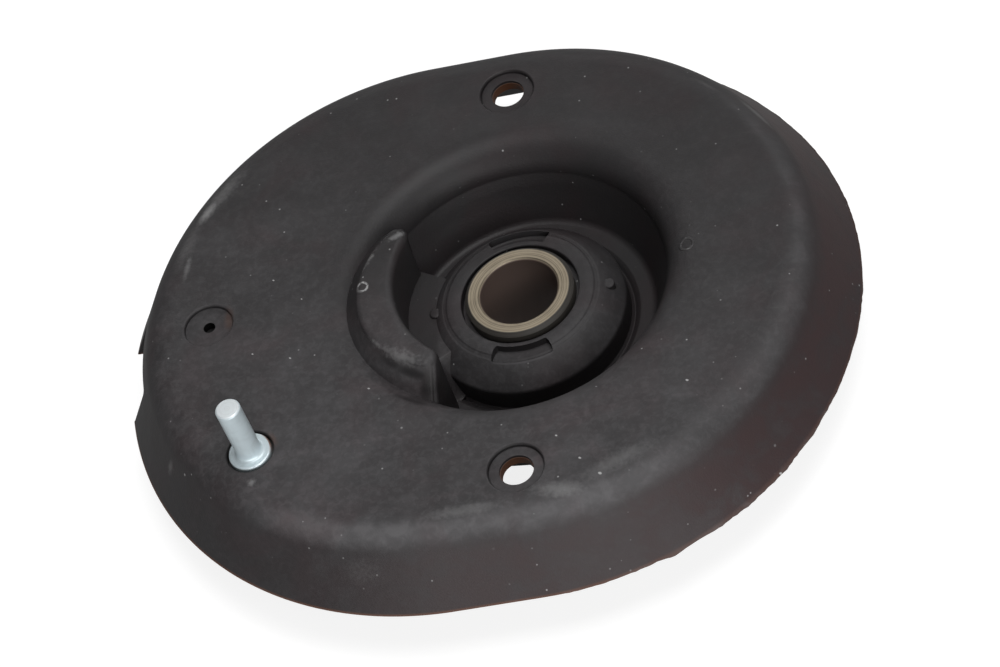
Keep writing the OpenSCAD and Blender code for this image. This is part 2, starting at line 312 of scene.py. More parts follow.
class SteelSizes(PropertyGroup):
    """Sizes of the turned sleeve and stud"""

    sleeve_chamfer: FloatProperty(
        name="Sleeve chamfer", description="Chamfer on the sleeve's upper outside edge",
        default=0.001, unit="LENGTH", precision=5)
    bore_chamfer: FloatProperty(
        name="Bore chamfer", description="Chamfer on the sleeve's upper inside edge",
        default=0.0006, unit="LENGTH", precision=5)
    stud_chamfer: FloatProperty(
        name="Stud chamfer", description="Chamfer on the stud's tip",
        default=0.0005, unit="LENGTH", precision=5)
    stud_collar_r: FloatProperty(
        name="Stud collar radius", description="Radius of the stud's collar",
        default=0.006, unit="LENGTH", precision=5)
    stud_collar_h: FloatProperty(
        name="Stud collar height", description="Height of the stud's collar above the plate",
        default=0.0022, unit="LENGTH", precision=5)
    stud_shank_r: FloatProperty(
        name="Stud shank radius", description="Radius of the stud's shank in the plate",
        default=0.004, unit="LENGTH", precision=5)
    stud_rivet_r: FloatProperty(
        name="Stud rivet radius", description="Radius of the riveted head under the plate",
        default=0.0055, unit="LENGTH", precision=5)
    edge_round: FloatProperty(
        name="Edge rounding", description="Rounding of the turned edges",
        default=0.00025, unit="LENGTH", precision=5)


class FinishColours(PropertyGroup):
    """Colours of the rubber and the steels"""

    rubber: FloatVectorProperty(
        name="Rubber", description="Colour of the clean rubber", subtype="COLOR",
        default=(0.0205, 0.0190, 0.0198), min=0, max=1)
    # Also the tone of painted light on the rubber and of the painted highlight at the pockets' rims
    dust: FloatVectorProperty(
        name="Dust", description="Colour of the dusty film on the rubber", subtype="COLOR",
        default=(0.078, 0.075, 0.078), min=0, max=1)
    skirt_tint: FloatVectorProperty(
        name="Skirt tint", description="Brown tint of the skirt's rubber", subtype="COLOR",
        default=(0.036, 0.022, 0.0225), min=0, max=1)
    # Also the colour of the painted highlights on the bends and the crescent's top edge
    chalk: FloatVectorProperty(
        name="Chalk", description="Colour of specks and scuffs", subtype="COLOR",
        default=(0.50, 0.50, 0.50), min=0, max=1)
    rust: FloatVectorProperty(
        name="Rust", description="Colour of the rust at cut edges", subtype="COLOR",
        default=(0.16, 0.060, 0.025), min=0, max=1)
    coat: FloatVectorProperty(
        name="Coat", description="Colour of the plate's black coat", subtype="COLOR",
        default=(0.046, 0.043, 0.042), min=0, max=1)
    sleeve: FloatVectorProperty(
        name="Sleeve steel", description="Colour of the turned sleeve", subtype="COLOR",
        default=(0.42, 0.355, 0.26), min=0, max=1)
    bore: FloatVectorProperty(
        name="Bore", description="Colour of the sleeve's oily bore", subtype="COLOR",
        default=(0.10, 0.068, 0.056), min=0, max=1)
    zinc: FloatVectorProperty(
        name="Zinc", description="Colour of the stud's zinc plating", subtype="COLOR",
        default=(0.68, 0.78, 0.82), min=0, max=1)


class StageSettings(PropertyGroup):
    """Camera, lamps and floor"""

    camera_place: FloatVectorProperty(
        name="Camera place", description="Place of the camera", subtype="XYZ", unit="LENGTH",
        default=(0.19586, -0.67017, 0.84569), precision=5)
    camera_turn: FloatVectorProperty(
        name="Camera turn", description="Turn of the camera", subtype="EULER",
        default=(0.65893, 0.25476, -0.01695), precision=5)
    lens: FloatProperty(
        name="Lens", description="Focal length of the camera in millimetres", unit="CAMERA",
        default=140.173)
    floor_size: FloatProperty(
        name="Floor size", description="Side of the floor", default=8.0, unit="LENGTH")
    floor_white: FloatProperty(
        name="Floor white", description="Brightness that the floor shows by itself",
        default=0.82, subtype="FACTOR", min=0, max=1)
    floor_grey: FloatProperty(
        name="Floor grey", description="Share of the lamps' light that the floor returns",
        default=0.30, subtype="FACTOR", min=0, max=1)
    floor_shine: FloatProperty(
        name="Floor shine", description="Share of the white floor that reflections show",
        default=0.20, subtype="FACTOR", min=0, max=1)
    room_light: FloatProperty(
        name="Room light", description="Strength of the light from all round", default=0.08)
    top_power: FloatProperty(
        name="Top lamp", description="Power of the lamp overhead", default=2.0, unit="POWER")
    key_power: FloatProperty(
        name="Key lamp", description="Power of the lamp above and a little to the right", default=13.0,
        unit="POWER")
    fill_power: FloatProperty(
        name="Fill lamp", description="Power of the lamp in front, at half height", default=7.0,
        unit="POWER")
    back_power: FloatProperty(
        name="Back lamp", description="Power of the low strip behind", default=4.0, unit="POWER")
    front_power: FloatProperty(
        name="Front lamp", description="Power of the low strip in front", default=10.5, unit="POWER")


def settings(context):
    """The mount's property groups, kept on the scene."""
    return context.scene.strut_mount


class StrutMountSettings(PropertyGroup):
    """All that a user may change on the strut mount"""

    flange: PointerProperty(type=FlangeSizes)
    well: PointerProperty(type=WellSizes)
    crescent: PointerProperty(type=CrescentSizes)
    openings: PointerProperty(type=OpeningSizes)
    steel: PointerProperty(type=SteelSizes)
    colours: PointerProperty(type=FinishColours)
    stage: PointerProperty(type=StageSettings)


# Profiles: chains of (radius, height) points


def arc(centre, radius, start, end, steps):
    """Points of a round stretch of a profile, from one angle to another."""
    angles = [start + (end - start) * step / steps for step in range(steps + 1)]
    return [Vector((centre[0] + radius * math.cos(a), centre[1] + radius * math.sin(a)))
            for a in angles]


def rounded(corners, steps=4):
    """A chain through (radius, height, rounding) corners, with its inner corners rounded."""
    points = []
    for number, (radius, height, rounding) in enumerate(corners):
        corner = Vector((radius, height))
        if rounding <= 0 or number in (0, len(corners) - 1):
            points.append(corner)
            continue
        back = Vector(corners[number - 1][:2]) - corner
        ahead = Vector(corners[number + 1][:2]) - corner
        half = back.angle(ahead) / 2
        reach = min(rounding / math.tan(half), 0.48 * back.length, 0.48 * ahead.length)
        middle = (back.normalized() + ahead.normalized()).normalized()
        centre = corner + middle * (reach / math.cos(half))
        first = corner + back.normalized() * reach - centre
        last = corner + ahead.normalized() * reach - centre
        turn = -first.angle_signed(last) / steps
        points += [centre + Matrix.Rotation(turn * step, 2) @ first for step in range(steps + 1)]
    return points


def funnel_lines(flange, well):
    """Directions of the funnel, and the points where plate, bush and dish meet it."""
    outward, dish_out = [Vector((math.sin(slope), -math.cos(slope)))
                         for slope in (well.funnel_slope, well.dish_slope)]

    def at_height(point, height, square):
        along = Vector((square.y, -square.x))
        return point + along * ((height - point.y) / along.y)

    throat = Vector((well.throat_r, FLANGE_TOP - well.lip_r))
    skin_t = FLANGE_TOP - PLATE_TOP
    plate_throat = throat + outward * skin_t
    bend_z = PLATE_TOP - well.plate_bend_r
    bend_x = plate_throat.x + (
        well.plate_bend_r + (plate_throat.y - bend_z) * outward.y) / outward.x
    plate_edge = at_height(plate_throat, FLANGE_TOP - well.plate_edge_depth, outward)
    plate_edge_under = plate_edge + outward * flange.plate_t
    dish_line = plate_edge_under + dish_out * well.bush_t
    dish_rim = at_height(dish_line, well.dish_h, dish_out)
    return {
        "throat": throat,
        "bend": Vector((bend_x, bend_z)),
        "plate_edge": plate_edge,
        "plate_edge_under": plate_edge_under,
        "dish_corner": at_height(dish_line, well.dish_t, dish_out),
        "dish_rim": dish_rim,
        "bush_end": dish_rim - dish_out * well.bush_t,
        "shelf_out": at_height(throat, FLANGE_TOP - well.shelf_depth, outward),
        "edge_r": max(well.throat_r + well.lip_r, bend_x) + 2 * MM,
    }


def plate_face(lines, well, lift=0.0):
    """The plate's upper face down the well, from its lower edge out to the flat, raised by lift."""
    slope = well.funnel_slope
    up = Vector((-math.sin(slope), math.cos(slope)))
    bend = arc(lines["bend"], well.plate_bend_r + lift, math.pi / 2 + slope, math.pi / 2, 6)
    return [lines["plate_edge"] + up * lift] + bend


def dome_height(well, radius):
    """Height of the dome's surface at a radius."""
    share = (radius - well.collar_r) / (well.dome_r - well.collar_r)
    return FLANGE_TOP - well.collar_depth - (well.dome_depth - well.collar_depth) * share * share


def well_chain(flange, well):
    """The rubber from the flat top down the well, over the dome and back under to the plate."""
    lines = funnel_lines(flange, well)
    collar_z = FLANGE_TOP - well.collar_depth
    dome_z = FLANGE_TOP - well.dome_depth
    groove_z = FLANGE_TOP - well.groove_depth
    side_z = groove_z + well.groove_rise
    lip_start = well.throat_r + well.lip_r
    gap_r = SLEEVE_HIGH.x + well.ring_gap
    gap_z = collar_z - well.ring_gap_depth
    groove_out = well.shelf_r - well.groove_rise
    middle_x = (groove_out + well.dome_r) / 2
    lip = arc((lip_start, FLANGE_TOP - well.lip_r), well.lip_r, math.pi / 2, math.pi, 18)
    shares = [1 - step / 14 for step in range(2, 14)]
    dome = [well.collar_r + (well.dome_r - well.collar_r) * share for share in shares]
    groove = rounded([
        (lines["throat"].x, lines["throat"].y, 0),
        (*lines["shelf_out"], FOOT_ROUND),
        (well.shelf_r, lines["shelf_out"].y, SHELF_ROUND),
        (groove_out, side_z, GROOVE_ROUND),
        (middle_x, groove_z, GROOVE_ROUND),
        (well.dome_r, side_z, GROOVE_ROUND),
        (well.dome_r, dome_z, DOME_ROUND),
        *[(radius, dome_height(well, radius), 0) for radius in dome]])
    collar = rounded([
        (well.collar_r, collar_z, 0),
        (gap_r, collar_z, COLLAR_ROUND),
        (gap_r, gap_z, 0),
        (SLEEVE_HIGH.x, gap_z, 0),
        (SLEEVE_HIGH.x, well.dish_t, 0)])
    under = [lines[name] for name in ("dish_corner", "dish_rim", "bush_end", "plate_edge_under")]
    plate = plate_face(lines, well) + [Vector((lines["edge_r"], PLATE_TOP))]
    return [Vector((lines["edge_r"], FLANGE_TOP))] + lip + groove[1:] + collar + under + plate


def skirt_surface(flange, depth, low):
    """The skirt's surface at a depth under the rubber's, from the flat top down to a height."""
    centre = (flange.flat_r, FLANGE_TOP - flange.bend_r)
    bend = arc(centre, flange.bend_r - depth, math.pi / 2, math.pi / 2 - flange.skirt_slope, 10)
    end = bend[-1]
    return bend + [Vector((end.x + (end.y - low) / math.tan(flange.skirt_slope), low))]


def skirt_chain(flange, inner_edge):
    """The rubber from the flat top over the skirt, round its bead and back up to the plate."""
    rim_z = FLANGE_TOP - flange.skirt_drop
    skin_t = FLANGE_TOP - PLATE_TOP
    inner_depth = skin_t + flange.plate_t
    bead_z = rim_z + flange.bead_h
    outer = skirt_surface(flange, 0, rim_z)
    rim = outer.pop()
    above = skirt_surface(flange, 0, rim_z + RIM_EDGE_H)[-1]
    halfway = (outer[-1] + above) / 2
    bead = [
        halfway,
        above,
        Vector((rim.x, rim_z + RIM_LINE_H)),
        Vector((rim.x - RIM_FOOT_IN, rim_z)),
        skirt_surface(flange, inner_depth + flange.lap_t, rim_z)[-1],
        skirt_surface(flange, inner_depth + flange.lap_t, rim_z + flange.lap_h)[-1],
        skirt_surface(flange, inner_depth, rim_z + flange.lap_h)[-1],
        skirt_surface(flange, inner_depth, bead_z)[-1]]
    plate = skirt_surface(flange, skin_t, bead_z)[::-1]
    return ([Vector((inner_edge, FLANGE_TOP))] + outer + bead + plate
            + [Vector((inner_edge, PLATE_TOP))])


# Mesh tools


def lathe(bm, points, centre=(0.0, 0.0), steps=96, start=0.0, turn=2 * math.pi, closed=False):
    """Spins a chain of points about an upright axis, and returns the first copy's vertices."""
    middle = Vector((centre[0], centre[1], 0.0))
    aim = Vector((math.cos(start), math.sin(start), 0.0))
    chain = [bm.verts.new(middle + aim * point[0] + Vector((0, 0, point[1]))) for point in points]
    ends = chain[1:] + chain[:1] if closed else chain[1:]
    edges = [bm.edges.new(pair) for pair in zip(chain, ends)]
    full = turn > 2 * math.pi - MERGE_DISTANCE
    bmesh.ops.spin(bm, geom=chain + edges, cent=middle, axis=UP, angle=turn, steps=steps,
                   use_merge=full)
    return chain


def tidy(bm):
    """Closes poles and seams and points all faces outwards."""
    bmesh.ops.remove_doubles(bm, verts=bm.verts[:], dist=MERGE_DISTANCE)
    bmesh.ops.dissolve_degenerate(bm, edges=bm.edges[:], dist=MERGE_DISTANCE)
    bmesh.ops.recalc_face_normals(bm, faces=bm.faces[:])


def close_ends(bm):
    """Fills the open ends of a part turn."""
    bmesh.ops.remove_doubles(bm, verts=bm.verts[:], dist=MERGE_DISTANCE)
    open_edges = [edge for edge in bm.edges if edge.is_boundary]
    bmesh.ops.holes_fill(bm, edges=open_edges, sides=0)
    bmesh.ops.recalc_face_normals(bm, faces=bm.faces[:])


def bevel(bm, edges, offset, segments):
    """Rounds edges over."""
    bmesh.ops.bevel(bm, geom=edges, offset=offset, offset_type="OFFSET", segments=segments,
                    profile=0.5, affect="EDGES", material=-1)


def make_object(name, bm):
    """Links a mesh object made from a bmesh."""
    mesh = bpy.data.meshes.new(name)
    bm.to_mesh(mesh)
    bm.free()
    made = bpy.data.objects.new(name, mesh)
    bpy.context.scene.collection.objects.link(made)
    return made


def cut_or_join(body, tool, operation):
    """Joins a tool to a body, or cuts it away, and removes the tool."""
    modifier = body.modifiers.new(operation.lower(), "BOOLEAN")
    modifier.operation = operation
    modifier.solver = "EXACT"
    modifier.object = tool
    graph = bpy.context.evaluated_depsgraph_get()
    result = bpy.data.meshes.new_from_object(body.evaluated_get(graph))
    body.modifiers.remove(modifier)
    old = body.data
    body.data = result
    bpy.data.meshes.remove(old)
    tool_mesh = tool.data
    bpy.data.objects.remove(tool)
    bpy.data.meshes.remove(tool_mesh)
    if not body.data.polygons:
        raise RuntimeError(f"{body.name} was lost when a shape was cut or joined")


def smooth(piece):
    """Shades a piece smoothly between its sharp edges, led by its large faces."""
    piece.data.shade_smooth()
    piece.data.set_sharp_from_angle(angle=SHARP_ANGLE)
    weighted = piece.modifiers.new("large_faces_lead", "WEIGHTED_NORMAL")
    weighted.keep_sharp = True


# Rubber


def flash_at(angle, rim_r, reach):
    """How far the torn flash stands out of the rim at an angle round the right end."""
    degrees = math.degrees(angle)
    if not FLASH_FROM < degrees < FLASH_TO:
        return 0.0
    rise = min(1.0, (degrees - FLASH_FROM) / 6, (FLASH_TO - degrees) / 14)
    swell = math.exp(-((degrees - FLASH_SWELL) / 17) ** 2)
    coarse = noise.noise(Vector((degrees * 0.33, 1.7, 0.0)))
    fine = noise.noise(Vector((degrees * 1.15, 5.3, 0.0)))
    torn = 0.30 + 0.55 * coarse + 0.45 * fine
    stand = reach * rise * (0.75 * swell + max(0.0, torn) * (0.38 + 0.5 * swell))
    flap = 0.6 * reach * math.exp(-((degrees - FLASH_FLAP) / 1.5) ** 2)
    room = (rim_r - 0.01 * MM) / max(abs(math.cos(angle)), abs(math.sin(angle))) - rim_r
    return max(0.0, min(stand + flap, room))


def tear_rim(bm, flange):
    """Pulls the rim's edge outwards into a thin torn flash round the right end."""
    rim_z = FLANGE_TOP - flange.skirt_drop
    rim_r = skirt_surface(flange, 0, rim_z)[-1].x
    for vert in bm.verts:
        radius = math.hypot(vert.co.x, vert.co.y)
        on_edge = abs(vert.co.z - rim_z - RIM_LINE_H) < 0.01 * MM and radius > rim_r - 0.1 * MM
        if on_edge and vert.co.x > 0:
            out = flash_at(math.atan2(vert.co.y, vert.co.x), rim_r, flange.flash_reach)
            vert.co.x += vert.co.x / radius * out
            vert.co.y += vert.co.y / radius * out
            vert.co.z -= min(0.2 * MM, 0.3 * out)


def fill_flat(bm, height):
    """Fills the flat ring between the well's open edge and the oval's at one height."""
    edges = [edge for edge in bm.edges if edge.is_boundary
             and all(abs(vert.co.z - height) < MERGE_DISTANCE for vert in edge.verts)]
    bmesh.ops.triangle_fill(bm, use_beauty=True, edges=edges, normal=UP)


def rubber_skin(flange, well):
    """The skinned flange, its skirt and the bush as one closed solid."""
    bm = bmesh.new()
    oval_edge = funnel_lines(flange, well)["edge_r"] + FLAT_RING_W
    steps = flange.turn_steps
    lathe(bm, skirt_chain(flange, oval_edge), steps=steps, start=math.pi / 2)
    bmesh.ops.remove_doubles(bm, verts=bm.verts[:], dist=MERGE_DISTANCE)
    left = [vert for vert in bm.verts if vert.co.x < -MERGE_DISTANCE]
    bmesh.ops.translate(bm, verts=left, vec=(-flange.oval_shift, 0, 0))
    straight = [edge for edge in bm.edges
                if abs(edge.verts[0].co.x - edge.verts[1].co.x) > 0.9 * flange.oval_shift]
    bmesh.ops.subdivide_edges(bm, edges=straight, cuts=STRAIGHT_CUTS, use_grid_fill=True)
    tear_rim(bm, flange)
    lathe(bm, well_chain(flange, well), steps=steps, start=math.pi / 2)
    bmesh.ops.remove_doubles(bm, verts=bm.verts[:], dist=MERGE_DISTANCE)
    fill_flat(bm, FLANGE_TOP)
    fill_flat(bm, PLATE_TOP)
    tidy(bm)
    return make_object("rubber_skin", bm)


def crescent_outline(bm, crescent, low):
    """Draws the crescent's floor at a height, and returns it with the middle of its back's arc."""
    back_x = crescent.front_r + crescent.thickness - crescent.back_r
    tip_pitch = crescent.front_r + crescent.tip_r
    inner = crescent.back_r - crescent.tip_r
    tip_x = (tip_pitch ** 2 + back_x ** 2 - inner ** 2) / (2 * back_x)
    tip_y = math.sqrt(tip_pitch ** 2 - tip_x ** 2)
    back_half = math.atan2(tip_y, tip_x - back_x)
    front_half = math.atan2(tip_y, tip_x)
    tip_turn = math.pi + front_half - back_half
    start = Vector((back_x, 0, low)) + crescent.back_r * Vector(
        (math.cos(back_half), -math.sin(back_half), 0))
    vert = bm.verts.new(start)
    arcs = [
        ((back_x, 0, 0), 2 * back_half, 40),
        ((tip_x, tip_y, 0), tip_turn, 14),
        ((0, 0, 0), -2 * front_half, 40),
        ((tip_x, -tip_y, 0), tip_turn, 14)]
    for centre, turn, steps in arcs:
        made = bmesh.ops.spin(bm, geom=[vert], cent=centre, axis=UP, angle=turn, steps=steps)
        vert = [item for item in made["geom_last"] if isinstance(item, bmesh.types.BMVert)][0]
    bmesh.ops.remove_doubles(bm, verts=bm.verts[:], dist=MERGE_DISTANCE)
    return bmesh.ops.contextual_create(bm, geom=bm.edges[:])["faces"], Vector((back_x, 0, low))


def funnel_space(flange, well, top):
    """The space over the funnel's plate, with a little rubber left on it, up to past a height."""
    lines = funnel_lines(flange, well)
    face = plate_face(lines, well, lift=CRESCENT_SKIN)
    outer_r = lines["edge_r"] + 10 * MM
    roof = top + 10 * MM
    bm = bmesh.new()
    lathe(bm, [Vector((0, face[0].y))] + face + [
        Vector((outer_r, face[-1].y)), Vector((outer_r, roof)), Vector((0, roof))], steps=192)
    tidy(bm)
    return make_object("funnel_space", bm)


def crescent_block(flange, well, crescent):
    """The crescent stop, with a rounded top edge and a leaning back, standing on the funnel."""
    low = FLANGE_TOP - well.groove_depth
    top = FLANGE_TOP + crescent.height
    bm = bmesh.new()
    floor, middle = crescent_outline(bm, crescent, low)
    raised = bmesh.ops.extrude_face_region(bm, geom=floor, use_keep_orig=True)["geom"]
    top_verts = [item for item in raised if isinstance(item, bmesh.types.BMVert)]
    bmesh.ops.translate(bm, verts=top_verts, vec=(0, 0, top - low))
    spread = (top - low) * math.tan(crescent.draft)
    for vert in floor[0].verts:
        behind = min(1.0, max(0.0, (vert.co.xy.length - crescent.front_r) / LEAN_BAND))
        vert.co += (vert.co - middle).normalized() * (behind * spread)
    top_edges = [item for item in raised if isinstance(item, bmesh.types.BMEdge)]
    bevel(bm, top_edges, crescent.edge_round, 5)
    bmesh.ops.rotate(bm, verts=bm.verts[:], cent=(0, 0, 0),
                     matrix=Matrix.Rotation(crescent.axis, 3, "Z"))
    tidy(bm)
    block = make_object("crescent_block", bm)
    cut_or_join(block, funnel_space(flange, well, top), "INTERSECT")
    return block


def ledge_block(well, crescent):
    """The ledge that fills the groove in front of the crescent."""
    low = FLANGE_TOP - well.groove_depth - well.groove_rise / 2
    high = FLANGE_TOP - crescent.ledge_depth
    inner_r = (well.collar_r + well.nub_pitch_r) / 2
    outer_r = crescent.front_r + well.groove_rise / 2
    bm = bmesh.new()
    section = rounded([
        (inner_r, (low + high) / 2, 0), (inner_r, low, 0), (outer_r, low, 0), (outer_r, high, 0),
        (inner_r, high, LEDGE_ROUND), (inner_r, (low + high) / 2, 0)])
    lathe(bm, section[:-1], steps=72, start=crescent.ledge_from,
          turn=crescent.ledge_to + crescent.ramp - crescent.ledge_from, closed=True)
    close_ends(bm)
    for vert in bm.verts:
        angle = math.atan2(vert.co.y, vert.co.x) % (2 * math.pi)
        past = (angle - crescent.ledge_to) / crescent.ramp + 0.5
        if past > 0:
            drop = min(1.0, past / 1.5)
            vert.co.z -= 0.85 * (vert.co.z - low) * drop * drop * (3 - 2 * drop)
    return make_object("ledge_block", bm)


def moulded_pegs(flange, well, openings):
    """The two nubs on the dome, and the plug that fills the plate's spare hole."""
    bm = bmesh.new()
    top = dome_height(well, well.nub_pitch_r) + well.nub_h
    foot = FLANGE_TOP - well.dome_depth
    nub = rounded([(0, foot, 0), (well.nub_r, foot, 0), (well.nub_r, top, NUB_ROUND), (0, top, 0)])
    for side in (-1, 1):
        lathe(bm, nub, centre=(side * well.nub_pitch_r, 0), steps=40)
    under = PLATE_TOP - flange.plate_t
    above = PLATE_TOP + 0.4 * MM
    lathe(bm, [(0, under), (openings.plug_r, under), (openings.plug_r, above), (0, above)],
          centre=(openings.recess_x, 0), steps=72)
    tidy(bm)
    return make_object("moulded_pegs", bm)


def hole_cutter(bm, place, radius, floor, edge_round, foot):
    """A round cutter that flares into a rounded edge at the flange's top and ends in a smaller foot."""
    bend = arc((radius + edge_round, FLANGE_TOP - edge_round), edge_round,
               math.pi, math.radians(98), 6)
    flare = bend[-1] + (bend[-1] - bend[-2]).normalized() * 0.4 * MM
    foot_r, low = foot
    roof = FLANGE_TOP + 3 * MM
    points = [Vector((0, low)), Vector((foot_r, low)), Vector((foot_r, floor)), Vector((radius, floor))]
    points += bend + [flare, Vector((flare.x, roof)), Vector((0, roof))]
    lathe(bm, points, centre=place, steps=96)


def openings_cutter(flange, openings):
    """Cutters for the bolt openings, the stud's opening, the recess and its pin hole."""
    bm = bmesh.new()
    edge = openings.edge_round
    under = PLATE_TOP - CUT_PAST
    for place in BOLT_PLACES:
        hole_cutter(bm, place.xy, openings.bolt_r, PLATE_TOP + openings.film_t, edge,
                    (BOLT_HOLE_R + 0.25 * MM, under))
    hole_cutter(bm, STUD_PLACE.xy, openings.stud_r, PLATE_TOP - 1 * MM, edge,
                (openings.stud_r - 1 * MM, under))
    hole_cutter(bm, (openings.recess_x, 0), openings.recess_r, FLANGE_TOP - openings.recess_depth, edge,
                (openings.pin_r, PLATE_TOP - flange.plate_t + openings.pin_floor_t))
    tidy(bm)
    return make_object("openings_cutter", bm)


def pockets_cutter(well):
    """Cutters for the two kidney pockets in the collar."""
    bm = bmesh.new()
    top = FLANGE_TOP - well.collar_depth
    for middle, depth in ((math.pi / 2, well.far_pocket_depth), (3 * math.pi / 2, well.pocket_depth)):
        section = [(well.pocket_in_r, top - depth), (well.pocket_out_r, top - depth),
                   (well.pocket_out_r, top + CUT_PAST), (well.pocket_in_r, top + CUT_PAST)]
        lathe(bm, section, steps=24, start=middle - well.pocket_angle / 2,
              turn=well.pocket_angle, closed=True)
    close_ends(bm)
    corners = [edge for edge in bm.edges
               if abs(edge.verts[0].co.z - edge.verts[1].co.z) > well.pocket_depth
               and edge.calc_face_angle(0) > math.radians(60)]
    bevel(bm, corners, POCKET_ROUND, 6)
    tidy(bm)
    return make_object("pockets_cutter", bm)


def notch_cutter(flange):
    """The block that cuts the notch out of the skirt's end."""
    bm = bmesh.new()
    bmesh.ops.create_cube(bm, size=1.0)
    rim_z = FLANGE_TOP - flange.skirt_drop
    reach = flange.skirt_drop + flange.bend_r
    low = rim_z - CUT_PAST
    high = rim_z + flange.notch_h
    bmesh.ops.scale(bm, verts=bm.verts[:], vec=(reach, flange.notch_w, high - low))
    corners = [edge for edge in bm.edges if abs(edge.verts[0].co.x - edge.verts[1].co.x) > reach / 2
               and edge.verts[0].co.z > 0]
    bevel(bm, corners, NOTCH_ROUND, 5)
    middle = (-flange.oval_shift - flange.flat_r - reach / 2, 0, (low + high) / 2)
    bmesh.ops.translate(bm, verts=bm.verts[:], vec=middle)
    tidy(bm)
    return make_object("notch_cutter", bm)


# Finishes


def feed(tree, node, inputs):
    """Fills a node's inputs with values or links."""
    for name, value in inputs.items():
        if isinstance(value, bpy.types.NodeSocket):
            tree.links.new(value, node.inputs[name])
        else:
            node.inputs[name].default_value = value


def add_node(tree, kind, inputs=None, **choices):
    """Adds a node, sets its choices and feeds its inputs."""
    node = tree.nodes.new(kind)
    for name, value in choices.items():
        setattr(node, name, value)
    feed(tree, node, inputs or {})
    return node


def calc(tree, operation, first, second=0.0):
    """A Math node's result."""
    return add_node(tree, "ShaderNodeMath", {0: first, 1: second}, operation=operation).outputs[0]


def calc_all(tree, operation, values):
    """The result of one operation on all the values in turn."""
    result = values[0]
    for value in values[1:]:
        result = calc(tree, operation, result, value)
    return result


def plus(tree, *values):
    """The sum of the values."""
    return calc_all(tree, "ADD", values)


def times(tree, *values):
    """The product of the values."""
    return calc_all(tree, "MULTIPLY", values)


def largest(tree, *values):
    """The largest of the values."""
    return calc_all(tree, "MAXIMUM", values)


def spare(tree, value, mask):
    """A value that is taken back where a mask is full."""
    return times(tree, value, calc(tree, "SUBTRACT", 1.0, mask))


def vector(tree, operation, first, second=(0.0, 0.0, 0.0)):
    """A Vector Math node's outputs."""
    return add_node(tree, "ShaderNodeVectorMath", {0: first, 1: second}, operation=operation).outputs


def fade(tree, value, low, high, to_low=0.0, to_high=1.0):
    """A value's smooth step from one level to another."""
    return add_node(tree, "ShaderNodeMapRange", {
        "Value": value, "From Min": low, "From Max": high, "To Min": to_low, "To Max": to_high},
        interpolation_type="SMOOTHSTEP").outputs[0]


def mix(tree, share, first, second):
    """Two colours mixed by a share."""
    return add_node(tree, "ShaderNodeMix", {0: share, 6: first, 7: second}, data_type="RGBA").outputs[2]


def colour(value, share=1.0):
    """A colour with full alpha, darkened to a share of itself."""
    return (*[share * part for part in value], 1.0)


def new_group(name, inputs, output):
    """An empty shader node group with named inputs and outputs, and its two end nodes."""
    tree = bpy.data.node_groups.new(name, "ShaderNodeTree")
    for socket, value in inputs.items():
        kind = "NodeSocketFloat" if isinstance(value, float) else "NodeSocketVector"
        made = tree.interface.new_socket(socket, in_out="INPUT", socket_type=kind)
        made.default_value = value
    for socket in output:
        tree.interface.new_socket(socket, in_out="OUTPUT", socket_type="NodeSocketFloat")
    return tree, tree.nodes.new("NodeGroupInput").outputs, tree.nodes.new("NodeGroupOutput").inputs


def place_group(tree, name, inputs):
    """Places a node group with its own values and returns its outputs."""
    return add_node(tree, "ShaderNodeGroup", inputs, node_tree=bpy.data.node_groups[name]).outputs


def per_mm(tree, length):
    """The texture scale of a length in millimetres."""
    return calc(tree, "DIVIDE", 1.0, times(tree, length, MM))


def clouds(tree, coord, scale, detail=3.0, **more):
    """A noise texture's value."""
    return add_node(tree, "ShaderNodeTexNoise", {
        "Vector": coord, "Scale": scale, "Detail": detail, **more}).outputs[0]


def build_dust_group(name):
    """Cloudy film with wiped streaks, as a mask."""
    tree, given, result = new_group(name, {"Coord": NOWHERE, "Patch": 34.0, "Streak": 1.0}, ["Mask"])
    patches = clouds(tree, given["Coord"], per_mm(tree, given["Patch"]), 5.0, Roughness=0.58, Distortion=0.6)
    turned = add_node(tree, "ShaderNodeMapping", {
        "Vector": given["Coord"], "Rotation": (0.0, 0.0, math.radians(-24)),
        "Scale": (0.16, 1.0, 0.5)}).outputs[0]
    streaks = clouds(tree, turned, 150.0, 4.0, Roughness=0.6, Distortion=0.4)
    cover = fade(tree, patches, 0.40, 0.72)
    wiped = times(tree, fade(tree, streaks, 0.48, 0.74), given["Streak"])
    both = add_node(tree, "ShaderNodeMath", {
        0: times(tree, cover, 0.7), 1: times(tree, wiped, plus(tree, cover, 0.25))},
        operation="ADD", use_clamp=True).outputs[0]
    tree.links.new(both, result["Mask"])


def build_speck_group(name):
    """Sparse round specks of one size, as a mask."""
    tree, given, result = new_group(
        name, {"Coord": NOWHERE, "Spacing": 7.0, "Size": 0.3, "Share": 0.4}, ["Mask"])
    cells = add_node(tree, "ShaderNodeTexVoronoi", {
        "Vector": given["Coord"], "Scale": per_mm(tree, given["Spacing"]), "Randomness": 1.0},
        feature="F1").outputs
    edge = calc(tree, "DIVIDE", given["Size"], given["Spacing"])
    dot = add_node(tree, "ShaderNodeMapRange", {
        "Value": cells["Distance"], "From Min": times(tree, edge, 0.4), "From Max": edge,
        "To Min": 1.0, "To Max": 0.0}).outputs[0]
    lot = add_node(tree, "ShaderNodeSeparateColor", {"Color": cells["Color"]}).outputs
    chosen = calc(tree, "LESS_THAN", lot[0], given["Share"])
    strength = times(tree, chosen, calc(tree, "POWER", lot[1], 1.6))
    tree.links.new(times(tree, dot, strength), result["Mask"])


